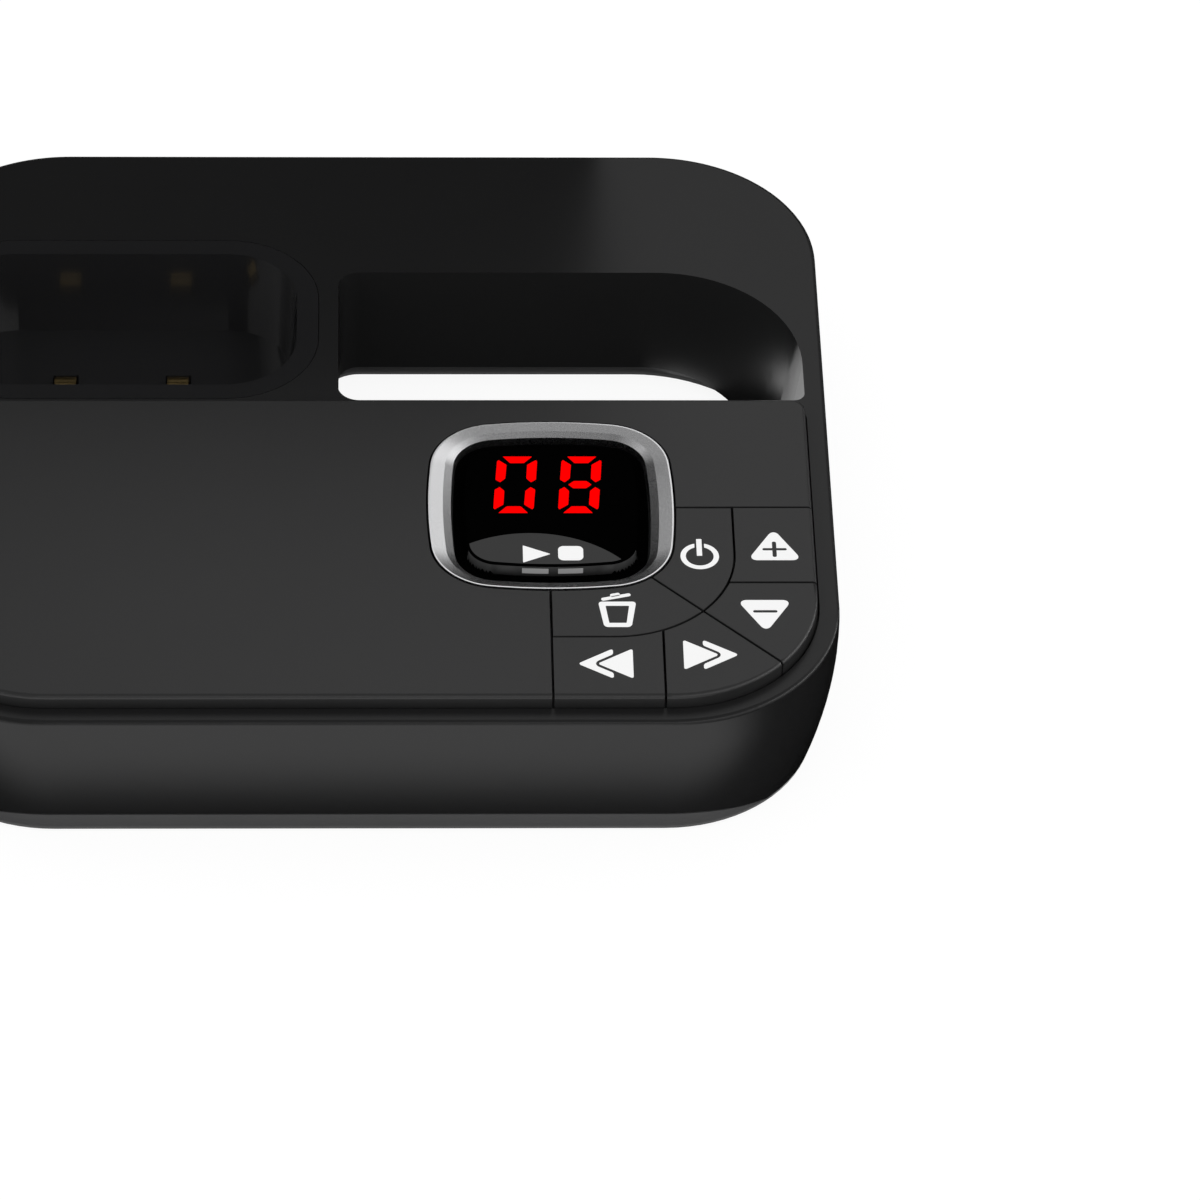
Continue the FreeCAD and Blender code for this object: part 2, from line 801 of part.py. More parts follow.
def main_board():
    """The main circuit board, notched round the casing's bosses."""
    corners = [board_corner, board_corner, board_back_corner, board_back_corner]
    wire = rectangle(board_left, -board_left, board_front, board_back, corners, board_bottom)
    board = prism(wire, board_thickness)
    cuts = [post(px, py, boss_radius + boss_play, 0, rim_height)
            for px, py in case_bosses() if py < 0]
    screwed, plain = standoffs()
    cuts += [post(px, py, board_screw_radius + head_play, 0, rim_height) for px, py in screwed]
    return board.cut(cuts)


def segment(x0, y0, x1, y1, half):
    """One bar of a digit, pointed at both ends, as a flat outline."""
    length = math.hypot(x1 - x0, y1 - y0)
    ux, uy = (x1 - x0) / length, (y1 - y0) / length
    vx, vy = -uy * half, ux * half
    tip = half
    points = [(x0, y0), (x0 + ux * tip + vx, y0 + uy * tip + vy),
              (x1 - ux * tip + vx, y1 - uy * tip + vy), (x1, y1),
              (x1 - ux * tip - vx, y1 - uy * tip - vy), (x0 + ux * tip - vx, y0 + uy * tip - vy)]
    bottom = carrier_top + display_proud - digit_recess
    wire = Part.makePolygon([Vector(a, b, bottom) for a, b in points + points[:1]])
    return prism(wire, digit_recess + past)


def display_module():
    """The two-digit display on the board, its bars sunk into its face."""
    half_w, half_d = display_width / 2, display_depth / 2
    block = box(window_x - half_w, window_x + half_w, window_y - half_d, window_y + half_d,
                board_top, carrier_top + display_proud)
    cuts = []
    half, gap = digit_bar / 2, bar_gap
    w, h = digit_width - digit_bar, (digit_height - digit_bar) / 2
    for side in (-1, 1):
        x = window_x + side * digit_pitch / 2 - w / 2
        y = window_y - h
        for level in range(3):
            cuts.append(segment(x + gap, y + level * h, x + w - gap, y + level * h, half))
        for level in range(2):
            for column in (0, w):
                cuts.append(segment(x + column, y + level * h + gap, x + column,
                                    y + (level + 1) * h - gap, half))
    return block.cut(cuts)


# --- speaker ---------------------------------------------------------------------------------
def revolved(points):
    """A solid turned about the speaker's upright axis from radius and height pairs."""
    vectors = [Vector(speaker_x + r, speaker_y, floor_z + z) for r, z in points]
    face = Part.Face(Part.makePolygon(vectors + vectors[:1]))
    return face.revolve(Vector(speaker_x, speaker_y, 0), Vector(0, 0, 1), 360)


def speaker():
    """The speaker's basket, cone and magnet."""
    rise = speaker_height - magnet_height
    inner = speaker_radius - speaker_flange
    basket = revolved([(inner, 0), (speaker_radius, 0), (speaker_radius, sheet_metal),
                       (inner + sheet_metal, sheet_metal), (magnet_radius + sheet_metal, rise),
                       (magnet_radius / 2, rise), (magnet_radius / 2, rise - sheet_metal),
                       (magnet_radius, rise - sheet_metal), (inner, sheet_metal)])
    thin = sheet_metal / 2
    rim, dip = inner - sheet_metal, rise - 2 * sheet_metal
    cone = revolved([(rim, 0), (rim, thin), (magnet_radius / 2, dip), (0, dip - sheet_metal),
                     (0, dip - sheet_metal - thin), (magnet_radius / 2, dip - thin)])
    magnet = post(speaker_x, speaker_y, magnet_radius, floor_z + rise, floor_z + speaker_height)
    return basket, cone, magnet


# --- cradle and contacts -------------------------------------------------------------------------
def contact_spots():
    """The middle of the two contacts in the cradle."""
    return [cradle_x - contact_pitch / 2, cradle_x + contact_pitch / 2]


def cradle_tub():
    """The tub that takes the handset, hung in the casing by its flange."""
    levels = (cradle_floor, rim_height)
    pocket = Part.makeLoft([cradle_section(z, 0) for z in levels], True, True)
    skin = Part.makeLoft([cradle_section(z, cradle_wall) for z in (tub_bottom, rim_height)], True, True)
    flange = prism(cradle_section(rim_height, cradle_wall + flange_width), -flange_thickness)
    tub = join([skin, flange]).cut(pocket)
    half_x = contact_width / 2 + contact_play
    half_y = contact_radius + contact_play
    cuts = [box(x - half_x, x + half_x, cradle_y - half_y, cradle_y + half_y, 0, rim_height)
            for x in contact_spots()]
    return tub.cut(cuts)


def charge_contact(x):
    """One contact: a strip bent up into an arch, with a flat foot at each end."""
    top = cradle_floor + contact_proud
    foot = tub_bottom - contact_play
    centre = top - contact_radius
    arch = Part.makeCylinder(contact_radius, contact_width, Vector(x - contact_width / 2, cradle_y, centre),
                             Vector(1, 0, 0))
    legs = box(x - contact_width / 2, x + contact_width / 2, cradle_y - contact_radius,
               cradle_y + contact_radius, foot - contact_thickness, centre)
    inner = contact_radius - contact_thickness
    void = Part.makeCylinder(inner, contact_width, Vector(x - contact_width / 2, cradle_y, centre),
                             Vector(1, 0, 0))
    gap = box(x - contact_width / 2, x + contact_width / 2, cradle_y - inner, cradle_y + inner, 0, centre)
    reach = contact_radius + contact_foot
    feet_plate = box(x - contact_width / 2, x + contact_width / 2, cradle_y - reach, cradle_y + reach,
                     foot - contact_thickness, foot)
    upper = arch.common(box(x - reach, x + reach, cradle_y - reach, cradle_y + reach,
                            centre, top + past))
    return join([upper, legs, feet_plate]).cut([void, gap])


def contact_block():
    """The block under the tub that holds the contacts' feet."""
    block = box(cradle_x - block_width / 2, cradle_x + block_width / 2, cradle_y - block_depth / 2,
                cradle_y + block_depth / 2, floor_z, tub_bottom)
    half_x = contact_width / 2 + contact_play
    half_y = contact_radius + contact_foot + contact_play
    bottom = tub_bottom - 2 * contact_play - contact_thickness - contact_travel
    cuts = [box(x - half_x, x + half_x, cradle_y - half_y, cradle_y + half_y, bottom, rim_height)
            for x in contact_spots()]
    return block.cut(cuts)


# --- rear board and sockets ------------------------------------------------------------------------
def rear_posts():
    """Centres of the posts under the rear board."""
    reach = rear_board_half - rear_post_inset
    return [(x, rear_board_front + rear_post_inset) for x in (-reach, 0, reach)]


def rear_board():
    """The small board that carries the sockets."""
    wire = rectangle(-rear_board_half, rear_board_half, rear_board_front, rear_board_back,
                     [rear_board_corner] * 4, rear_board_z)
    return prism(wire, board_thickness)


def line_socket():
    """The telephone line socket, open to the back, with the groove for the plug's latch."""
    z, back = socket_z, half_depth - socket_set_back
    block = box(socket_x - socket_width / 2, socket_x + socket_width / 2, back - socket_length, back,
                z, z + socket_height)
    mouth_z = z + socket_wall + socket_key_height
    mouth = box(socket_x - socket_mouth / 2, socket_x + socket_mouth / 2,
                back - socket_length + socket_wall, back + past, mouth_z, mouth_z + socket_mouth_height)
    groove = box(socket_x - socket_key_width / 2, socket_x + socket_key_width / 2,
                 back - socket_length + socket_wall, back + past, z + socket_wall, mouth_z)
    return block.cut([mouth, groove])


def line_socket_pins():
    """The sprung wires in the line socket, lying along the mouth's upper wall."""
    z = socket_z + socket_wall + socket_key_height + socket_mouth_height
    back = half_depth - socket_set_back
    pins = []
    for i in range(socket_pins):
        x = socket_x + (i - (socket_pins - 1) / 2) * socket_pin_pitch
        start = back - socket_length + socket_wall
        pins.append(box(x - socket_pin / 2, x + socket_pin / 2, start, back - socket_wall * 2,
                        z - socket_pin, z))
    return Part.makeCompound(pins)


def dc_jack():
    """The power jack's housing and its centre pin."""
    z, back = socket_z, half_depth - socket_set_back
    block = box(jack_x - jack_width / 2, jack_x + jack_width / 2, back - jack_length - wall, back - wall,
                z, z + jack_height)
    start = Vector(jack_x, back - wall - jack_overlap, z + jack_height / 2)
    nose = Part.makeCylinder(jack_bore + jack_collar, wall + jack_overlap, start, Vector(0, 1, 0))
    centre = Vector(jack_x, back - jack_depth, z + jack_height / 2)
    bore = Part.makeCylinder(jack_bore, jack_depth + past, centre, Vector(0, 1, 0))
    pin = Part.makeCylinder(jack_pin, jack_depth - jack_pin_set_back, centre, Vector(0, 1, 0))
    tip = [e for e in pin.Edges if e.BoundBox.YMin > back - jack_pin_set_back - jack_pin / 2]
    pin = pin.makeChamfer(jack_pin / 2, tip)
    return join([block, nose]).cut(bore), pin


# --- small pieces ------------------------------------------------------------------------------------
def feet():
    """Centres of the rubber feet."""
    x, y = half_width - foot_inset, half_depth - foot_set_back
    return [(sx * x, sy * y) for sx in (-1, 1) for sy in (-1, 1)]


def rubber_feet():
    """Four rubber pads, set in the floor and standing proud of it."""
    return Part.makeCompound([post(x, y, foot_radius, 0, foot_thickness) for x, y in feet()])


def screw(x, y, radius, length, head_radius, head, z, up):
    """A screw with a round head and a cross recess; up is the way its shank runs."""
    shank = Part.makeCylinder(radius, length, Vector(x, y, z), Vector(0, 0, up))
    top = Part.makeCylinder(head_radius, head, Vector(x, y, z - up * head), Vector(0, 0, up))
    face = z - up * head
    low, high = sorted((face, face + up * recess_depth))
    long, half = head_radius - recess_margin, recess_width / 2
    cross = [box(x - long, x + long, y - half, y + half, low, high),
             box(x - half, x + half, y - long, y + long, low, high)]
    return join([shank, top]).cut(cross)


def case_screws():
    """The four screws that hold the lower shell to the casing."""
    z = foot_proud + head_depth
    reach = pad_height - head_depth + screw_length - screw_end_gap
    return Part.makeCompound([screw(x, y, screw_radius, reach, screw_head_radius, screw_head, z, 1)
                              for x, y in case_bosses()])


def board_screws():
    """The screws that hold the main board to its posts."""
    screwed, plain = standoffs()
    return Part.makeCompound([screw(x, y, board_screw_radius, board_screw_length, board_head_radius,
                                    board_head, board_top, -1) for x, y in screwed])


def radio_shield():
    """The folded metal can over the radio."""
    x, y, t = board_left + shield_inset, board_front + shield_set_back, shield_sheet
    can = box(x, x + shield_width, y, y + shield_depth, board_top, board_top + shield_height)
    inner = box(x + t, x + shield_width - t, y + t, y + shield_depth - t,
                board_top, board_top + shield_height - t)
    return can.cut(inner)


def board_chips():
    """The larger chips on the main board."""
    solids = []
    for inset, set_back, width, depth in chips:
        x, y = board_left + inset, board_back - set_back
        solids.append(box(x, x + width, y - depth, y, board_top, board_top + chip_height))
    return Part.makeCompound(solids)


def radio_antennas():
    """Two stamped strips that stand on the board's front corner."""
    strips = []
    for i in range(2):
        x, y = board_left + antenna_inset + i * antenna_pitch, board_front + antenna_set_back
        strips.append(box(x, x + antenna_length, y, y + antenna_thickness, board_top,
                          board_top + antenna_height))
    return Part.makeCompound(strips)


def filter_capacitor():
    """The round capacitor that hangs under the main board."""
    bottom = floor_z + capacitor_gap
    can = post(window_x, board_front + capacitor_set_back, capacitor_radius, bottom, board_bottom)
    low = [e for e in can.Edges if e.BoundBox.ZMax < bottom + capacitor_bevel]
    return can.makeChamfer(capacitor_bevel, low)


def board_ribbon():
    """The flat cable on the floor between the main board and the rear board."""
    x0 = cradle_x + block_width / 2 + ribbon_gap
    x1, t = x0 + ribbon_width, ribbon_thickness
    start, end = board_back - ribbon_reach, rear_board_front + ribbon_end
    flat = box(x0, x1, start, end + t, floor_z, floor_z + t)
    front = box(x0, x1, start, start + t, floor_z, board_bottom)
    back = box(x0, x1, end, end + t, floor_z, rear_board_z)
    return join([flat, front, back])


def main():
    """Build every part and write it."""
    os.makedirs("parts", exist_ok=True)
    write("upper_casing", upper_casing())
    write("lower_shell", lower_shell())
    write("control_panel", control_panel())
    caps = deck_pieces(key_bottom)
    pockets = deck_pockets(key_bottom, cap_wall, cap_thickness)
    for name in key_spots():
        write(name, key(caps, pockets, name))
    write("window_bezel", bezel())
    write("window_key", window_key())
    write("key_carrier", key_carrier())
    write("keypad_mat", keypad_mat())
    write("main_board", main_board())
    write("display_module", display_module())
    write("radio_shield", radio_shield())
    write("board_chips", board_chips())
    write("radio_antennas", radio_antennas())
    write("filter_capacitor", filter_capacitor())
    basket, cone, magnet = speaker()
    write("speaker_basket", basket)
    write("speaker_cone", cone)
    write("speaker_magnet", magnet)
    write("cradle_tub", cradle_tub())
    write("contact_block", contact_block())
    left, right = contact_spots()
    write("charge_contact_left", charge_contact(left))
    write("charge_contact_right", charge_contact(right))
    write("rear_board", rear_board())
    write("line_socket", line_socket())
    write("line_socket_pins", line_socket_pins())
    jack, pin = dc_jack()
    write("dc_jack", jack)
    write("dc_jack_pin", pin)
    write("board_ribbon", board_ribbon())
    write("rubber_feet", rubber_feet())
    write("case_screws", case_screws())
    write("board_screws", board_screws())


main()
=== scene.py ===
"""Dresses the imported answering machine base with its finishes, printed signs, lit digits and studio."""
import json
import logging
import math
from abc import ABC, abstractmethod
from collections.abc import Callable
from dataclasses import dataclass, field
from enum import Enum

import bpy
from mathutils import Matrix, Vector


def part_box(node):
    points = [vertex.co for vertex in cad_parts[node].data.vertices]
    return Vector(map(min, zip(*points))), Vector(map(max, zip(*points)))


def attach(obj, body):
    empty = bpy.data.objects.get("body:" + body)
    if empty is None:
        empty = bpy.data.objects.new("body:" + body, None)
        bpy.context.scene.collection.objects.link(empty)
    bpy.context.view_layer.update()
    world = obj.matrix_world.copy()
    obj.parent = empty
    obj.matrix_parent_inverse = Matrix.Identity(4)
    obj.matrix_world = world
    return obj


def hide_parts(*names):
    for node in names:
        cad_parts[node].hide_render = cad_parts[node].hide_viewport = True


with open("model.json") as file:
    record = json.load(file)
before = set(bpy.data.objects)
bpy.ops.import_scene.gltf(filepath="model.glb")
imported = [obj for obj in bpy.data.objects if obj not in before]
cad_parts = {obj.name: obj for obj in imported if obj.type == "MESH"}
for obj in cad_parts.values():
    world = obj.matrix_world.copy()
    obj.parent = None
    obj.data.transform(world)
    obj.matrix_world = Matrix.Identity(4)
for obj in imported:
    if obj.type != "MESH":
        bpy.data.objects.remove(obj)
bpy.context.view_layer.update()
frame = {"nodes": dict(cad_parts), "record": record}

MM = 0.001
LOG = logging.getLogger("answering_machine")

Pair = tuple[float, float]
Triple = tuple[float, float, float]


# --- modelling helpers ---
class Cut(Enum):
    """What is left of a piece that another one cuts."""

    OUTSIDE = "DIFFERENCE"
    INSIDE = "INTERSECT"


def clear_selection() -> None:
    """Leave edit mode and deselect everything."""
    if bpy.context.object and bpy.context.object.mode != "OBJECT":
        bpy.ops.object.mode_set(mode="OBJECT")
    bpy.ops.object.select_all(action="DESELECT")


def activate(piece: bpy.types.Object) -> None:
    """Make a piece the only selected one, and the active one.

    Args:
        piece: The object that the next operator acts on.
    """
    clear_selection()
    piece.select_set(True)
    bpy.context.view_layer.objects.active = piece


def edit(piece: bpy.types.Object) -> None:
    """Enter edit mode on a piece with all of its mesh selected.

    Args:
        piece: The object to edit.
    """
    activate(piece)
    bpy.ops.object.mode_set(mode="EDIT")
    bpy.ops.mesh.select_all(action="SELECT")


def settle(piece: bpy.types.Object) -> bpy.types.Object:
    """Put a piece's place, turn and scale into its mesh.

    Args:
        piece: The object to settle.

    Returns:
        The same object, at the origin.
    """
    activate(piece)
    bpy.ops.object.transform_apply(location=True, rotation=True, scale=True)
    return piece


def apply_modifier(piece: bpy.types.Object, modifier: bpy.types.Modifier) -> None:
    """Apply one modifier of a piece."""
    activate(piece)
    bpy.ops.object.modifier_apply(modifier=modifier.name)


def join(pieces: list[bpy.types.Object], name: str) -> bpy.types.Object:
    """Join several pieces into one.

    Args:
        pieces: The objects to join.
        name: The name of the joined object.

    Returns:
        The joined object.
    """
    activate(pieces[0])
    for piece in pieces[1:]:
        piece.select_set(True)
    bpy.ops.object.join()
    pieces[0].name = name
    return pieces[0]


def carve(piece: bpy.types.Object, cutter: bpy.types.Object, cut: Cut = Cut.OUTSIDE) -> None:
    """Cut a piece with another, which is used up.

    Args:
        piece: The object to cut.
        cutter: The object that cuts it.
        cut: Whether what lies outside or inside the cutter is left.
    """
    boolean = piece.modifiers.new("carve", "BOOLEAN")
    boolean.operation = cut.value
    boolean.solver = "EXACT"
    boolean.object = cutter
    apply_modifier(piece, boolean)
    bpy.data.objects.remove(cutter)


def round_corners(piece: bpy.types.Object, reach: float, segments: int = 6) -> None:
    """Round the corners of a flat outline.

    Args:
        piece: A flat mesh of one face.
        reach: How far along each side the rounding reaches, in metres.
        segments: Steps in each corner.
    """
    edit(piece)
    bpy.ops.mesh.bevel(offset=reach, segments=segments, affect="VERTICES", clamp_overlap=True)
    bpy.ops.object.mode_set(mode="OBJECT")


def thicken(piece: bpy.types.Object, height: float) -> None:
    """Raise a flat outline into a plate.

    Args:
        piece: A flat mesh.
        height: The plate's height, in metres.
    """
    edit(piece)
    bpy.ops.mesh.extrude_region_move(TRANSFORM_OT_translate={"value": (0, 0, height)})
    bpy.ops.mesh.select_all(action="SELECT")
    bpy.ops.mesh.normals_make_consistent(inside=False)
    bpy.ops.object.mode_set(mode="OBJECT")


def outline(points: list[Pair], z: float, name: str) -> bpy.types.Object:
    """Draw a flat face through a few corners: a filled circle whose corners are moved there.

    Args:
        points: The corners, in order, in metres.
        z: The face's height.
        name: The object's name.

    Returns:
        The flat object, which faces up.
    """
    clear_selection()
    bpy.ops.mesh.primitive_circle_add(vertices=len(points), radius=MM, fill_type="NGON", location=(0, 0, 0))
    piece = bpy.context.object
    piece.name = name
    for vertex, (x, y) in zip(piece.data.vertices, points):
        vertex.co = (x, y, z)
    edit(piece)
    bpy.ops.mesh.normals_make_consistent(inside=False)
    bpy.ops.object.mode_set(mode="OBJECT")
    if piece.data.polygons[0].normal.z < 0:
        edit(piece)
        bpy.ops.mesh.flip_normals()
        bpy.ops.object.mode_set(mode="OBJECT")
    return piece


def bar(centre: Pair, size: Pair, turn: float, z: float, corner: float, name: str) -> bpy.types.Object:
    """Draw a flat bar with rounded corners.

    Args:
        centre: The bar's middle, in metres.
        size: Its length and width.
        turn: Its turn about the upright axis, in degrees.
        z: Its height.
        corner: How far its corners' rounding reaches.
        name: The object's name.

    Returns:
        The flat object.
    """
    half_x, half_y = size[0] / 2, size[1] / 2
    cos, sin = math.cos(math.radians(turn)), math.sin(math.radians(turn))
    corners = [(-half_x, -half_y), (half_x, -half_y), (half_x, half_y), (-half_x, half_y)]
    points = [(centre[0] + x * cos - y * sin, centre[1] + x * sin + y * cos) for x, y in corners]
    piece = outline(points, z, name)
    round_corners(piece, corner)
    return piece


# --- node graphs ---
def put(node: bpy.types.Node, values: dict[str, object]) -> None:
    """Set some sockets of a node, each by its name."""
    for name, value in values.items():
        node.inputs[name].default_value = value


@dataclass(frozen=True)
class Graph:
    """The nodes of a material or of the world.

    Args:
        tree: The node tree.
    """

    tree: bpy.types.NodeTree

    def add(self, kind: str, values: dict[str, object] | None = None) -> bpy.types.Node:
        """Add a shader node.

        Args:
            kind: The node's type, without the ShaderNode in front.
            values: Each socket's value, by the socket's name.

        Returns:
            The node.
        """
        node = self.tree.nodes.new(f"ShaderNode{kind}")
        put(node, values or {})
        return node

    def link(self, source: bpy.types.NodeSocket, target: bpy.types.NodeSocket) -> None:
        """Link an output to an input."""
        self.tree.links.new(source, target)

    def surface(self, shader: bpy.types.Node, output: str = "Material Output") -> None:
        """Link a shader to the output node."""
        self.link(shader.outputs[0], self.tree.nodes[output].inputs["Surface"])

    def show(self, light: bpy.types.Node, shown: bpy.types.Node, output: str) -> None:
        """Use one shader where the surface is looked at or reflected, and another where it gives light.

        Args:
            light: The shader for the rays that carry light.
            shown: The shader for camera, transmission and glossy rays.
            output: The name of the output node.
        """
        path = self.add("LightPath")
        seen = path.outputs["Is Camera Ray"]
        for ray in ("Is Transmission Ray", "Is Glossy Ray"):
            either = self.add("Math")
            either.operation = "MAXIMUM"
            self.link(seen, either.inputs[0])
            self.link(path.outputs[ray], either.inputs[1])
            seen = either.outputs["Value"]
        mix = self.add("MixShader")
        self.link(seen, mix.inputs["Fac"])
        self.link(light.outputs[0], mix.inputs[1])
        self.link(shown.outputs[0], mix.inputs[2])
        self.surface(mix, output)


# --- finishes ---
@dataclass(frozen=True)
class Grain:
    """A fine surface texture.

    Args:
        scale: Grains per metre.
        depth: Height of the grain, in metres.
        spread: How much the roughness varies.
        stretch: How much finer the grain is along X, Y and Z.
        detail: How many finer grains lie in each grain.
    """

    scale: float
    depth: float
    spread: float = 0.05
    stretch: Triple = (1.0, 1.0, 1.0)
    detail: float = 3.0


@dataclass(frozen=True)
class Finish:
    """One surface finish, made as a procedural material.

    Args:
        name: The record's name for its slot.
        colour: Its linear base colour.
        roughness: Its middle roughness.
        grain: Its surface texture.
        metallic: 1 for bare or plated metal.
        ior: The index of refraction of its clear surface.
        level: How strongly its clear surface reflects; 0.5 follows from the index.
        coat: Weight of a clear coat.
        coat_roughness: The coat's roughness.
        shade: How much the colour varies from place to place, as a share.
        drift: Patches of another shade per metre.
        glow: Strength of its own light.
        smoothest: The least roughness that its grain reaches.
    """

    name: str
    colour: Triple
    roughness: float
    grain: Grain
    metallic: float = 0.0
    ior: float = 1.5
    level: float = 0.5
    coat: float = 0.0
    coat_roughness: float = 0.03
    shade: float = 0.06
    drift: float = 45.0
    glow: float = 0.0
    smoothest: float = 0.02

    def build(self) -> bpy.types.Material:
        """Make the material.

        Returns:
            The material, or the one already made under this name.
        """
        name = f"{self.name}_finish"
        made = bpy.data.materials.get(name)
        if made:
            return made
        material = bpy.data.materials.new(name)
        material.use_nodes = True
        graph = Graph(material.node_tree)
        shader = material.node_tree.nodes["Principled BSDF"]
        put(shader, {"Metallic": self.metallic, "IOR": self.ior, "Specular IOR Level": self.level,
                     "Coat Weight": self.coat, "Coat Roughness": self.coat_roughness})
        if self.glow:
            put(shader, {"Emission Color": (*self.colour, 1.0), "Emission Strength": self.glow})
        where = graph.add("TexCoord").outputs["Object"]
        self._grain(graph, where, shader)
        self._colour(graph, where, shader)
        return material

    def _grain(self, graph: Graph, where: bpy.types.NodeSocket, shader: bpy.types.Node) -> None:
        """Give the surface its fine bumps and an uneven roughness.

        Args:
            graph: The material's nodes.
            where: The place on the piece.
            shader: The shader that takes the bumps and the roughness.
        """
        stretch = graph.add("Mapping", {"Scale": self.grain.stretch})
        graph.link(where, stretch.inputs["Vector"])
        noise = graph.add("TexNoise", {"Scale": self.grain.scale, "Detail": self.grain.detail})
        graph.link(stretch.outputs["Vector"], noise.inputs["Vector"])
        low, high = self.roughness - self.grain.spread, self.roughness + self.grain.spread
        spread = graph.add("MapRange", {"To Min": max(low, self.smoothest), "To Max": min(high, 1.0)})
        graph.link(noise.outputs["Fac"], spread.inputs["Value"])
        graph.link(spread.outputs["Result"], shader.inputs["Roughness"])
        bump = graph.add("Bump", {"Distance": self.grain.depth, "Strength": 1.0})
        graph.link(noise.outputs["Fac"], bump.inputs["Height"])
        graph.link(bump.outputs["Normal"], shader.inputs["Normal"])

    def _colour(self, graph: Graph, where: bpy.types.NodeSocket, shader: bpy.types.Node) -> None:
        """Let the colour drift a little across the piece.

        Args:
            graph: The material's nodes.
            where: The place on the piece.
            shader: The shader that takes the colour.
        """
        drift = graph.add("TexNoise", {"Scale": self.drift, "Detail": 2.0})
        graph.link(where, drift.inputs["Vector"])
        ramp = graph.add("ValToRGB")
        for stop, share in zip(ramp.color_ramp.elements, (1.0 - self.shade, 1.0 + self.shade)):
            stop.color = (*[min(part * share, 1.0) for part in self.colour], 1.0)
        graph.link(drift.outputs["Fac"], ramp.inputs["Fac"])
        graph.link(ramp.outputs["Color"], shader.inputs["Base Color"])


class Finishes(Enum):
    """Every finish on the base."""

    DECK = Finish("deck_satin", (0.016, 0.016, 0.0162), 0.38, Grain(5200, 0.006 * MM, 0.04), ior=1.42)
    CASING = Finish("casing_black", (0.0105, 0.0105, 0.0107), 0.3, Grain(4200, 0.004 * MM, 0.04),
                    ior=1.42, level=0.3)
    SHELL = Finish("shell_grey", (0.065, 0.065, 0.066), 0.62, Grain(2600, 0.008 * MM), ior=1.4)
    LENS = Finish("lens_gloss", (0.0006, 0.0006, 0.0006), 0.06, Grain(900, 0.0002 * MM, 0.02),
                  ior=1.45, level=0.0)
    BEZEL = Finish("bezel_metal", (0.82, 0.82, 0.83), 0.27, Grain(16000, 0.0009 * MM, 0.04), metallic=1.0)
    INNER = Finish("inner_black", (0.012, 0.012, 0.012), 0.5, Grain(3000, 0.01 * MM))
    SILICONE = Finish("silicone", (0.38, 0.39, 0.40), 0.6, Grain(1500, 0.01 * MM))
    BOARD = Finish("board_green", (0.012, 0.11, 0.045), 0.3, Grain(700, 0.02 * MM), coat=0.5)
    DISPLAY = Finish("display_body", (0.01, 0.01, 0.01), 0.3, Grain(1500, 0.004 * MM))
    STEEL = Finish("plain_steel", (0.58, 0.58, 0.59), 0.32, Grain(1800, 0.004 * MM, 0.08, (1, 8, 1)),
                   metallic=1.0)
    CHIP = Finish("chip_black", (0.02, 0.02, 0.02), 0.55, Grain(2500, 0.01 * MM))
    SLEEVE = Finish("sleeve_black", (0.012, 0.013, 0.02), 0.22, Grain(900, 0.004 * MM))
    CONE = Finish("cone_black", (0.02, 0.02, 0.02), 0.85, Grain(1800, 0.03 * MM))
    FERRITE = Finish("ferrite", (0.05, 0.05, 0.05), 0.6, Grain(2200, 0.02 * MM))
    TUB = Finish("tub_gloss", (0.012, 0.012, 0.0125), 0.14, Grain(1200, 0.002 * MM, 0.03), coat=0.3)
    SOCKET = Finish("socket_grey", (0.03, 0.03, 0.03), 0.35, Grain(1500, 0.004 * MM))
    GOLD = Finish("gold_plate", (0.83, 0.60, 0.25), 0.25, Grain(1800, 0.003 * MM), metallic=1.0)
    RIBBON = Finish("ribbon_grey", (0.35, 0.35, 0.36), 0.5, Grain(900, 0.01 * MM, 0.05, (12, 1, 1)))
    FOOT = Finish("foot_rubber", (0.03, 0.03, 0.03), 0.8, Grain(1600, 0.02 * MM))
    SCREW = Finish("screw_zinc", (0.55, 0.56, 0.58), 0.3, Grain(1600, 0.004 * MM), metallic=1.0)
    WHITE = Finish("print_white", (0.96, 0.96, 0.96), 0.5, Grain(3000, 0.001 * MM), level=0.2, shade=0.01)
    # Painted reflection of the play and stop signs in the lens's front wall; it gives no light of its own.
    PALE = Finish("sign_glow", (0.33, 0.33, 0.33), 0.3, Grain(900, 0.0005 * MM), level=0.1, shade=0.2)
    # Grey print of the field on the window's face; also the painted reflection on the lens's front wall.
    GREY = Finish("print_grey", (0.042, 0.042, 0.042), 0.2, Grain(900, 0.0005 * MM), level=0.02, shade=0.1)
    RED = Finish("digit_red", (0.6, 0.0, 0.0), 0.4, Grain(900, 0.0005 * MM), level=0.0, shade=0.0, glow=0.9)


# --- studio ---
WHITE_LIGHT = (1.0, 1.0, 1.0, 1.0)
LYING = (0.0, 0.0, 0.0)
UPRIGHT = (90.0, 0.0, 0.0)
BLACK, DARK, FAINT, DIM, LIGHT, BRIGHT = 0.0, 0.04, 0.05, 0.27, 1.2, 1.65


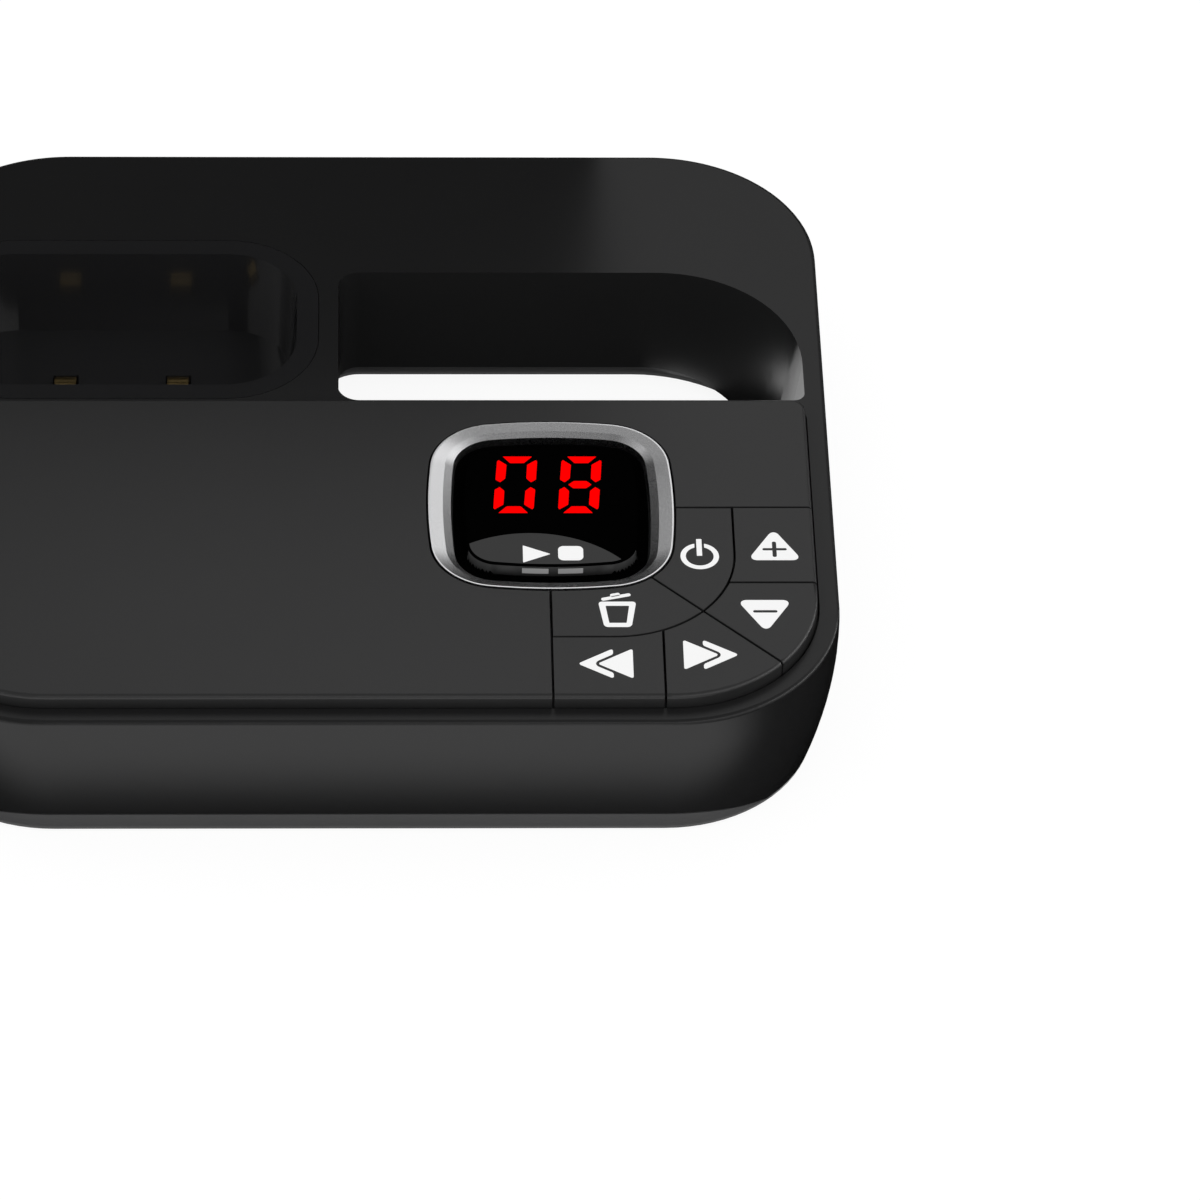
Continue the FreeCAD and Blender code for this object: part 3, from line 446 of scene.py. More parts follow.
@dataclass(frozen=True)
class Card:
    """A flat card that shows in reflections alone.

    Args:
        name: The card's name.
        place: Its middle, in metres.
        size: Its width and height.
        turn: Its turns about the X, Y and Z axes, in degrees.
        shade: How bright it is, where 1 is white.
        along: Where it fades out along X, from full to nothing, or empty for no fading.
        across: The same along Y.
    """

    name: str
    place: Triple
    size: Pair
    turn: Triple
    shade: float
    along: tuple[float, ...] = ()
    across: tuple[float, ...] = ()

    def build(self) -> bpy.types.Object:
        """Hang the card up.

        Returns:
            The card.
        """
        clear_selection()
        turn = [math.radians(angle) for angle in self.turn]
        bpy.ops.mesh.primitive_plane_add(size=1, location=self.place, rotation=turn)
        card = bpy.context.object
        card.name = self.name
        card.scale = (*self.size, 1)
        material = bpy.data.materials.new(self.name)
        material.use_nodes = True
        graph = Graph(material.node_tree)
        glow = graph.add("Emission", {"Color": WHITE_LIGHT, "Strength": self.shade})
        if self.along and self.across:
            self._fade(graph, glow)
        graph.surface(glow)
        card.data.materials.append(material)
        card.visible_camera = card.visible_diffuse = card.visible_shadow = card.visible_transmission = False
        settle(card)
        return card

    def _fade(self, graph: Graph, glow: bpy.types.Node) -> None:
        """Let the card fade out towards two of its sides.

        Args:
            graph: The material's nodes.
            glow: The shader whose strength fades.
        """
        split = graph.add("SeparateXYZ")
        graph.link(graph.add("TexCoord").outputs["Object"], split.inputs["Vector"])
        product = graph.add("Math")
        product.operation = "MULTIPLY"
        fades = (("X", self.along, 1.0), ("Y", self.across, self.shade))
        for target, (axis, (full, nothing), strength) in zip(product.inputs, fades):
            ramp = graph.add("MapRange", {"From Min": nothing, "From Max": full, "To Max": strength})
            ramp.interpolation_type = "SMOOTHSTEP"
            graph.link(split.outputs[axis], ramp.inputs["Value"])
            graph.link(ramp.outputs["Result"], target)
        graph.link(product.outputs["Value"], glow.inputs["Strength"])


@dataclass(frozen=True)
class Lamp:
    """A soft lamp that faces the base.

    Args:
        name: The lamp's name.
        place: Where it hangs, in metres.
        size: Its width and height.
        power: Its power, in watts.
    """

    name: str
    place: Triple
    size: Pair
    power: float

    def build(self) -> bpy.types.Object:
        """Hang the lamp up.

        Returns:
            The lamp.
        """
        data = bpy.data.lights.new(self.name, "AREA")
        data.shape = "RECTANGLE"
        data.size, data.size_y = self.size
        data.energy = self.power
        lamp = bpy.data.objects.new(self.name, data)
        bpy.context.scene.collection.objects.link(lamp)
        lamp.location = self.place
        lamp.rotation_euler = (-Vector(self.place)).to_track_quat("-Z", "Y").to_euler()
        return lamp


@dataclass
class Studio:
    """The camera, the lamp, the world, the floor and the cards round the base.

    Args:
        back: How far in front of the origin the camera stands, in metres.
        rise: Its height over the table.
        pitch: How far it looks down, in degrees.
        swing: Its turn to the right about its own upright axis, in degrees.
        roll: Its roll, in degrees.
        lens: Its focal length, in millimetres.
        sensor: The width of its sensor, in millimetres.
        clip: The nearest and the furthest distance that it sees, in metres.
        sky: How strongly the world lights plain surfaces.
        floor_radius: The floor's radius, in metres.
        floor_paint: The floor's colour and roughness.
        floor_glow: How white the floor shows in full shadow.
        floor_veil: How much light adds to that.
        lamp: The lamp.
        beyond: The cards behind the base.
        above: The cards over the base and in front of it.
        below: The cards just over the floor.
        beside: The cards at the right end of the opening and to the right of the base.
    """

    back: float = 784.4 * MM
    rise: float = 701.3 * MM
    pitch: float = 42.246
    swing: float = 1.8437
    roll: float = -0.023
    lens: float = 224.07
    sensor: float = 36.0
    clip: Pair = (0.05, 20.0)
    sky: float = 0.8
    floor_radius: float = 3.0
    floor_paint: float = 0.9
    floor_glow: float = 0.9
    floor_veil: float = 0.13
    lamp: Lamp = Lamp("key", (0.35, -0.95, 0.95), (0.9, 0.9), 5.0)
    beyond: tuple[Card, ...] = (
        Card("card_low", (0.0, 0.60, 0.145), (3.0, 0.45), UPRIGHT, DARK),
        Card("card_side_left", (-0.72, 0.57, 0.19), (1.0, 0.54), UPRIGHT, DARK),
        Card("card_side_right", (0.72, 0.57, 0.17), (1.0, 0.50), UPRIGHT, DARK),
        Card("card_left", (-0.86, 0.58, 0.55), (1.48, 1.2), UPRIGHT, DIM),
        Card("card_near", (-0.1475, 0.07, 0.055), (0.365, 0.07), UPRIGHT, BLACK),
    )
    above: tuple[Card, ...] = (
        Card("card_over", (0.0, 0.15, 1.0), (1.8, 0.9), LYING, DIM),
        Card("card_ahead", (0.0, -0.95, 1.05), (1.8, 1.3), LYING, FAINT),
        Card("card_camera", (0.0, -1.3, 0.85), (1.8, 1.1), (60.0, 0.0, 0.0), FAINT),
    )
    below: tuple[Card, ...] = (
        Card("card_floor", (0.0, 0.0, 0.001), (1.2, 0.9), LYING, BRIGHT, (0.056, 0.084),
             (-0.0745, -0.0605)),
        Card("card_behind", (-0.10, 0.30, 0.0012), (0.30, 0.45), LYING, LIGHT),
        Card("card_aside", (-0.30, 0.0, 0.0013), (0.45, 0.90), LYING, LIGHT),
        Card("card_slot", (0.0, 0.02, 0.0011), (0.09, 0.045), LYING, DARK),
    )
    beside: tuple[Card, ...] = (
        Card("card_end", (0.0582, 0.019, 0.0135), (0.0045, 0.015), UPRIGHT, 1.0),
        Card("card_pocket", (0.044, 0.0305, 0.0012), (0.010, 0.009), LYING, 2.4, (0.045, 0.040),
             (0.0305, 0.027)),
        Card("card_right", (0.80, 0.12, 0.345), (1.3, 0.10), (90.0, 27.5, 90.0), 8.0),
    )

    def camera(self) -> bpy.types.Object:
        """Place the camera.

        Returns:
            The camera.
        """
        data = bpy.data.cameras.new("camera")
        data.lens, data.sensor_width = self.lens, self.sensor
        data.clip_start, data.clip_end = self.clip
        camera = bpy.data.objects.new("camera", data)
        bpy.context.scene.collection.objects.link(camera)
        level = Matrix.Rotation(math.radians(90.0 - self.pitch), 4, "X")
        swing = Matrix.Rotation(math.radians(-self.swing), 4, "Y")
        roll = Matrix.Rotation(math.radians(self.roll), 4, "Z")
        camera.matrix_world = Matrix.Translation((0, -self.back, self.rise)) @ level @ swing @ roll
        bpy.context.scene.camera = camera
        return camera

    def world(self) -> None:
        """White where it is looked at or reflected, and a soft even light on the object."""
        world = bpy.data.worlds.new("studio")
        bpy.context.scene.world = world
        world.use_nodes = True
        graph = Graph(world.node_tree)
        light = graph.tree.nodes["Background"]
        put(light, {"Color": WHITE_LIGHT, "Strength": self.sky})
        graph.show(light, graph.add("Background", {"Color": WHITE_LIGHT, "Strength": 1.0}), "World Output")

    def floor(self) -> bpy.types.Object:
        """Lay a plain pale floor that shows white and keeps a faint shadow.

        Returns:
            The floor.
        """
        clear_selection()
        bpy.ops.mesh.primitive_circle_add(vertices=64, radius=self.floor_radius, fill_type="NGON",
                                          location=(0, 0, 0))
        floor = bpy.context.object
        floor.name = "floor"
        material = bpy.data.materials.new("floor_white")
        material.use_nodes = True
        graph = Graph(material.node_tree)
        paint = graph.tree.nodes["Principled BSDF"]
        put(paint, {"Base Color": (*[self.floor_paint] * 3, 1.0), "Roughness": self.floor_paint})
        glow = graph.add("Emission", {"Strength": self.floor_glow})
        veil = graph.add("BsdfDiffuse", {"Color": (*[self.floor_veil] * 3, 1.0)})
        shown = graph.add("AddShader")
        graph.link(glow.outputs["Emission"], shown.inputs[0])
        graph.link(veil.outputs["BSDF"], shown.inputs[1])
        graph.show(paint, shown, "Material Output")
        floor.data.materials.append(material)
        return floor

    def build(self) -> list[bpy.types.Object]:
        """Set up the whole studio.

        Returns:
            The camera, the floor, the cards and the lamp.
        """
        bpy.context.scene.view_settings.view_transform = "Standard"
        camera = self.camera()
        self.world()
        cards = self.beyond + self.above + self.below + self.beside
        return [camera, self.floor(), *[card.build() for card in cards], self.lamp.build()]


# --- pieces with the CAD's shape ---
def dress(piece: bpy.types.Object, finish: Finishes, body: str) -> bpy.types.Object:
    """Give a piece its finish and the body that it rides on.

    Args:
        piece: The piece.
        finish: Its finish.
        body: The body that it rides on.

    Returns:
        The same piece.
    """
    piece.data.materials.clear()
    piece.data.materials.append(finish.value.build())
    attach(piece, body)
    return piece


def copy_of(node: str, name: str) -> bpy.types.Object:
    """Copy a CAD node's mesh into a piece of its own, and weld its triangles.

    Args:
        node: The CAD node.
        name: The piece's name.

    Returns:
        The piece, in edit mode.
    """
    clear_selection()
    piece = bpy.data.objects.new(name, frame["nodes"][node].data.copy())
    bpy.context.scene.collection.objects.link(piece)
    edit(piece)
    bpy.ops.mesh.remove_doubles(threshold=0.0005 * MM)
    return piece


@dataclass
class Shell:
    """A finished shell over a CAD node: welded, softly rounded along its edges and smoothed.

    Args:
        node: The CAD node that it stands for.
        body: The body that it rides on.
        slot: The record's material slot; not used.
        finish: Its finish.
        edge: How much its sharp edges are rounded, in metres.
        flat: Up to what angle faces are one flat face, in degrees.
        smooth: Up to what angle an edge is smoothed over.
        sharp: From what angle an edge is rounded.
        evenness: How much the large faces rule the shading of the small ones, of 100.
    """

    node: str
    body: str
    slot: str
    finish: Finishes
    edge: float = 0.09 * MM
    flat: float = 0.3
    smooth: float = 32.0
    sharp: float = 50.0
    evenness: int = 100

    def build(self) -> bpy.types.Object:
        """Make the shell.

        Returns:
            The finished piece.
        """
        piece = copy_of(self.node, f"{self.node}_shell")
        bpy.ops.mesh.dissolve_limited(angle_limit=math.radians(self.flat), delimit={"NORMAL"})
        bpy.ops.object.mode_set(mode="OBJECT")
        bevel = piece.modifiers.new("edge", "BEVEL")
        bevel.width, bevel.segments = self.edge, 2
        bevel.limit_method, bevel.angle_limit = "ANGLE", math.radians(self.sharp)
        bevel.use_clamp_overlap = True
        apply_modifier(piece, bevel)
        activate(piece)
        bpy.ops.object.shade_smooth_by_angle(angle=math.radians(self.smooth))
        weighted = piece.modifiers.new("weighted", "WEIGHTED_NORMAL")
        weighted.keep_sharp = True
        weighted.weight = self.evenness
        apply_modifier(piece, weighted)
        dress(piece, self.finish, self.body)
        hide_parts(self.node)
        return piece


@dataclass
class Base:
    """The pieces that have the CAD's own shape.

    Args:
        keys: The six keys in the deck's skin.
    """

    keys: tuple[str, ...] = ("power_key", "delete_key", "volume_up_key", "volume_down_key", "forward_key",
                             "rewind_key")

    def nodes(self) -> list[bpy.types.Object]:
        """Give each carried-over CAD node the finish of its slot.

        Returns:
            The CAD nodes.
        """
        finishes = {finish.value.name: finish for finish in Finishes}
        nodes = []
        for entry in frame["record"]["subparts"]:
            node = frame["nodes"][entry["node"]]
            node.data.materials.clear()
            node.data.materials.append(finishes[entry["material_slot"]].value.build())
            nodes.append(node)
        return nodes

    def shells(self) -> list[Shell]:
        """Choose the nodes that get a shell; the others keep their own surfaces.

        Returns:
            The shells over the deck and the keys.
        """
        panel = Shell("control_panel", "base", "deck_satin", Finishes.DECK)
        window = Shell("window_key", "window_key", "lens_gloss", Finishes.LENS)
        return [panel, window, *[Shell(key, key, "deck_satin", Finishes.DECK) for key in self.keys]]

    def build(self) -> list[bpy.types.Object]:
        """Dress the nodes, and lay the shells over them."""
        return self.nodes() + [shell.build() for shell in self.shells()]


# --- printed signs ---
@dataclass(frozen=True)
class DeckPlace:
    """Places on the deck, given from the middle and from the deck's front edge.

    Args:
        front: Where the deck's front edge lies.
        face: The height of the deck's face.
        ink: The thickness of the printed film.
        through: A depth that cuts through any film.
    """

    front: float = field(default_factory=lambda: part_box("control_panel")[0].y)
    face: float = field(default_factory=lambda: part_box("control_panel")[1].z)
    ink: float = 0.02 * MM
    through: float = 1.0 * MM

    def at(self, x: float, y: float) -> Pair:
        """A point on the deck, from millimetres."""
        return x * MM, self.front + y * MM

    def corners(self, points: tuple[Pair, ...]) -> list[Pair]:
        """The corners of an outline on the deck, from millimetres."""
        return [self.at(x, y) for x, y in points]


@dataclass(frozen=True)
class Sign(ABC):
    """A white sign on a key, in millimetres from the middle and from the deck's front edge.

    Args:
        deck: The places on the deck.
        key: The key that carries the sign.
    """

    deck: DeckPlace
    key: str

    @abstractmethod
    def shape(self, name: str) -> bpy.types.Object:
        """Make the sign's film."""

    def build(self) -> bpy.types.Object:
        """Print the sign on its key."""
        return dress(self.shape(f"{self.key}_sign"), Finishes.WHITE, self.key)


@dataclass(frozen=True)
class PowerSign(Sign):
    """A ring with a gap at its top and an upright bar in the gap.

    Args:
        centre: The ring's middle.
        radius: The ring's radius, to the middle of its line.
        stroke: The width of the line.
        gap: The width of the gap.
        stem_shift: From the ring's middle to the bar's.
        stem_length: The bar's length.
        stem_corner: The rounding of the bar's corners.
        steps: Steps round the ring.
    """

    centre: Pair = (46.24, 27.85)
    radius: float = 2.26
    stroke: float = 0.73
    gap: float = 1.32
    stem_shift: Pair = (-0.02, 1.8)
    stem_length: float = 3.4
    stem_corner: float = 0.05
    steps: int = 96

    def shape(self, name: str) -> bpy.types.Object:
        """Make the ring and the bar.

        Args:
            name: The sign's name.

        Returns:
            The sign.
        """
        x, y = self.deck.at(*self.centre)
        face, radius, stroke = self.deck.face, self.radius * MM, self.stroke * MM
        clear_selection()
        bpy.ops.mesh.primitive_circle_add(vertices=self.steps, radius=radius + stroke / 2, fill_type="NGON",
                                          location=(x, y, face))
        ring = settle(bpy.context.object)
        thicken(ring, self.deck.ink)
        bpy.ops.mesh.primitive_cylinder_add(vertices=self.steps, radius=radius - stroke / 2,
                                            depth=self.deck.through, location=(x, y, face))
        carve(ring, settle(bpy.context.object))
        bpy.ops.mesh.primitive_cube_add(size=1, location=(x, y + radius, face))
        bpy.context.object.scale = (self.gap * MM, radius, self.deck.through)
        carve(ring, settle(bpy.context.object))
        middle = (x + self.stem_shift[0] * MM, y + self.stem_shift[1] * MM)
        stem = bar(middle, (stroke, self.stem_length * MM), 0, face, self.stem_corner * MM, "stem")
        thicken(stem, self.deck.ink)
        return join([ring, stem], name)


@dataclass(frozen=True)
class BinSign(Sign):
    """A bin in outline, with a tilted lid and its knob.

    Args:
        body: The corners of the bin's outside.
        body_corner: Their rounding.
        hollow: The corners of its inside.
        hollow_corner: Their rounding.
        lid: The lid's middle, its length and width, and its rounding.
        knob: The same for the knob.
        tilt: How far both are tilted, in degrees.
    """

    body: tuple[Pair, ...] = ((32.92, 13.6), (36.6, 13.6), (37.34, 18.67), (32.18, 18.67))
    body_corner: float = 0.55
    hollow: tuple[Pair, ...] = ((33.6, 14.42), (35.94, 14.42), (36.36, 17.84), (33.17, 17.84))
    hollow_corner: float = 0.1
    lid: tuple[Pair, Pair, float] = ((34.62, 19.6), (4.1, 0.6), 0.28)
    knob: tuple[Pair, Pair, float] = ((34.5, 20.03), (1.35, 0.62), 0.25)
    tilt: float = 14.5

    def shape(self, name: str) -> bpy.types.Object:
        """Make the bin, the lid and the knob.

        Args:
            name: The sign's name.

        Returns:
            The sign.
        """
        deck, face = self.deck, self.deck.face
        body = outline(deck.corners(self.body), face, name)
        round_corners(body, self.body_corner * MM)
        thicken(body, deck.ink)
        hollow = outline(deck.corners(self.hollow), face - deck.through, "hollow")
        round_corners(hollow, self.hollow_corner * MM, 2)
        thicken(hollow, 2 * deck.through)
        carve(body, hollow)
        pieces = [body]
        for middle, (long, wide), corner in (self.lid, self.knob):
            strip = bar(deck.at(*middle), (long * MM, wide * MM), self.tilt, face, corner * MM, "strip")
            thicken(strip, deck.ink)
            pieces.append(strip)
        return join(pieces, name)


@dataclass(frozen=True)
class TriangleSign(Sign):
    """A triangle that points to the back or to the front, with bars cut out of it.

    Args:
        x: Its axis.
        base: Where its flat side lies.
        apex: Where its point would be, unrounded.
        half: Half of its flat side, unrounded.
        cuts: Each bar's middle, and its sizes along X and Y.
        corner: The rounding of its corners.
        cut_corner: The rounding of a bar's corners, as a share of its width.
    """

    x: float
    base: float
    apex: float
    half: float
    cuts: tuple[tuple[Pair, Pair], ...]
    corner: float = 1.4
    cut_corner: float = 0.45

    def shape(self, name: str) -> bpy.types.Object:
        """Make the triangle and cut its bars.

        Args:
            name: The sign's name.

        Returns:
            The sign.
        """
        deck = self.deck
        points = deck.corners(((self.x - self.half, self.base), (self.x + self.half, self.base),
                               (self.x, self.apex)))
        if self.apex < self.base:
            points.reverse()
        sign = outline(points, deck.face, name)
        round_corners(sign, self.corner * MM, 10)
        thicken(sign, deck.ink)
        for middle, (along, across) in self.cuts:
            size = (along * MM, across * MM)
            cutter = bar(deck.at(*middle), size, 0, deck.face - deck.through, min(size) * self.cut_corner,
                         "cut")
            thicken(cutter, 2 * deck.through)
            carve(sign, cutter)
        return sign


class Way(Enum):
    """Where an arrow points, as a direction along X."""

    LEFT = -1
    RIGHT = 1


@dataclass(frozen=True)
class ArrowSign(Sign):
    """Two arrow heads, the further one cut to a chevron by the nearer one's margin.

    Args:
        tip: Where the further head's point would be, unrounded.
        axis: The heads' axis.
        way: Where they point.
        deep: From a head's point to its flat side.
        slope: Half of the flat side, as a share of deep.
        shift: From one head to the other.
        margin: From the nearer head to the chevron.
        far_corner: The rounding of the chevron's corners.
        near_corner: The rounding of the nearer head's corners.
        tool_corner: The rounding of the margin's point.
        tool_reach: How much deeper the margin's tool is than a head.
        inner_corner: The rounding of the inner corners at the ends of the chevron's arms.
    """

    tip: float
    axis: float
    way: Way
    deep: float = 4.78
    slope: float = 0.619
    shift: float = 2.65
    margin: float = 0.85
    far_corner: float = 0.5
    near_corner: float = 0.45
    tool_corner: float = 1.3
    tool_reach: float = 2.0
    inner_corner: float = 0.3

    def shape(self, name: str) -> bpy.types.Object:
        """Make the chevron and the head.

        Args:
            name: The sign's name.

        Returns:
            The sign.
        """
        deck, step = self.deck, self.way.value
        far = self._head(self.tip, self.deep, self.far_corner, deck.face)
        thicken(far, deck.ink)
        inner_tip = self.tip - step * self.shift
        tool = self._head(inner_tip + step * self.margin, self.deep + self.tool_reach, self.tool_corner,
                          deck.face - deck.through)
        thicken(tool, 2 * deck.through)
        carve(far, tool)
        self._soften(far)
        near = self._head(inner_tip, self.deep, self.near_corner, deck.face)
        thicken(near, deck.ink)
        return join([far, near], name)

    def _head(self, tip: float, deep: float, corner: float, z: float) -> bpy.types.Object:
        """Draw the flat outline of one head.

        Args:
            tip: Where its point would be, unrounded.
            deep: From the point to the flat side.
            corner: The rounding of its corners.
            z: Its height, in metres.

        Returns:
            The flat outline.
        """
        half, end = deep * self.slope, tip - self.way.value * deep
        points = self.deck.corners(((tip, self.axis), (end, self.axis + half), (end, self.axis - half)))
        if self.way is Way.RIGHT:
            points.reverse()
        piece = outline(points, z, "head")
        round_corners(piece, corner * MM, 8)
        return piece

    def _soften(self, piece: bpy.types.Object) -> None:
        """Round the inner corners at the ends of the chevron's arms.

        Args:
            piece: The chevron.
        """
        activate(piece)
        mesh = piece.data
        end = self.deck.at(self.tip - self.way.value * self.deep, 0)[0]
        middle = sum(vertex.co.y for vertex in mesh.vertices) / len(mesh.vertices)
        at_end, slack = 0.02 * MM, 0.05 * MM
        near = [vertex for vertex in mesh.vertices if abs(vertex.co.x - end) < at_end]
        reach = min(abs(vertex.co.y - middle) for vertex in near) + slack
        picked = {vertex.index for vertex in near if abs(vertex.co.y - middle) < reach}
        edit(piece)
        bpy.ops.mesh.select_all(action="DESELECT")
        bpy.ops.object.mode_set(mode="OBJECT")
        for edge in mesh.edges:
            low, high = (mesh.vertices[index].co.z for index in edge.vertices)
            edge.select = low != high and set(edge.vertices) <= picked
        bpy.ops.object.mode_set(mode="EDIT")
        bpy.ops.mesh.bevel(offset=self.inner_corner * MM, segments=5, affect="EDGES", clamp_overlap=True)
        bpy.ops.object.mode_set(mode="OBJECT")


@dataclass
class KeySigns:
    """The white signs on the six keys.

    Args:
        deck: The places on the deck.
    """

    deck: DeckPlace

    def signs(self) -> list[Sign]:
        """Size and place the signs.

        Returns:
            The six signs.
        """
        deck = self.deck
        plus = (((56.49, 29.27), (3.32, 0.48)), ((56.46, 29.26), (0.58, 3.14)))
        minus = (((54.72, 16.71), (3.29, 0.5)),)
        return [
            PowerSign(deck, "power_key"),
            BinSign(deck, "delete_key"),
            TriangleSign(deck, "volume_up_key", x=56.46, base=27.05, apex=33.42, half=3.74, cuts=plus),
            TriangleSign(deck, "volume_down_key", x=54.7, base=18.98, apex=12.56, half=3.77, cuts=minus),
            ArrowSign(deck, "rewind_key", tip=29.17, axis=6.34, way=Way.LEFT),
            ArrowSign(deck, "forward_key", tip=50.84, axis=8.08, way=Way.RIGHT),
        ]

    def build(self) -> list[bpy.types.Object]:
        """Print every sign."""
        return [sign.build() for sign in self.signs()]


# --- what shows in the window ---
def mirrored(points: tuple[Pair, ...], x: int, y: int) -> tuple[Pair, ...]:
    """Mirror an outline where x or y is -1, and keep the order of its corners to the left."""
    turned = [(along * x, across * y) for along, across in points]
    return tuple(turned if x == y else reversed(turned))


SIDE_BAR = ((-2.12, 0.5), (-1.45, 1.3), (-1.42, 4.12), (-2.58, 5.12), (-2.76, 4.82), (-2.78, 1.05))
TOP_BAR = ((-2.02, 5.86), (-0.96, 4.5), (0.96, 4.5), (2.02, 5.86))
MIDDLE_BAR = ((-1.6, 0.0), (-0.88, -0.74), (0.88, -0.74), (1.6, 0.0), (0.88, 0.74), (-0.88, 0.74))


class Segment(Enum):
    """The seven bars of a digit, each as an outline in millimetres from the digit's middle."""

    TOP = TOP_BAR
    UPPER_RIGHT = mirrored(SIDE_BAR, -1, 1)
    LOWER_RIGHT = mirrored(SIDE_BAR, -1, -1)
    BOTTOM = mirrored(TOP_BAR, 1, -1)
    LOWER_LEFT = mirrored(SIDE_BAR, 1, -1)
    UPPER_LEFT = SIDE_BAR
    MIDDLE = MIDDLE_BAR


class Digit(Enum):
    """The lit bars of each digit."""

    NOUGHT = (Segment.TOP, Segment.UPPER_RIGHT, Segment.LOWER_RIGHT, Segment.BOTTOM, Segment.LOWER_LEFT,
              Segment.UPPER_LEFT)
    EIGHT = (*NOUGHT, Segment.MIDDLE)


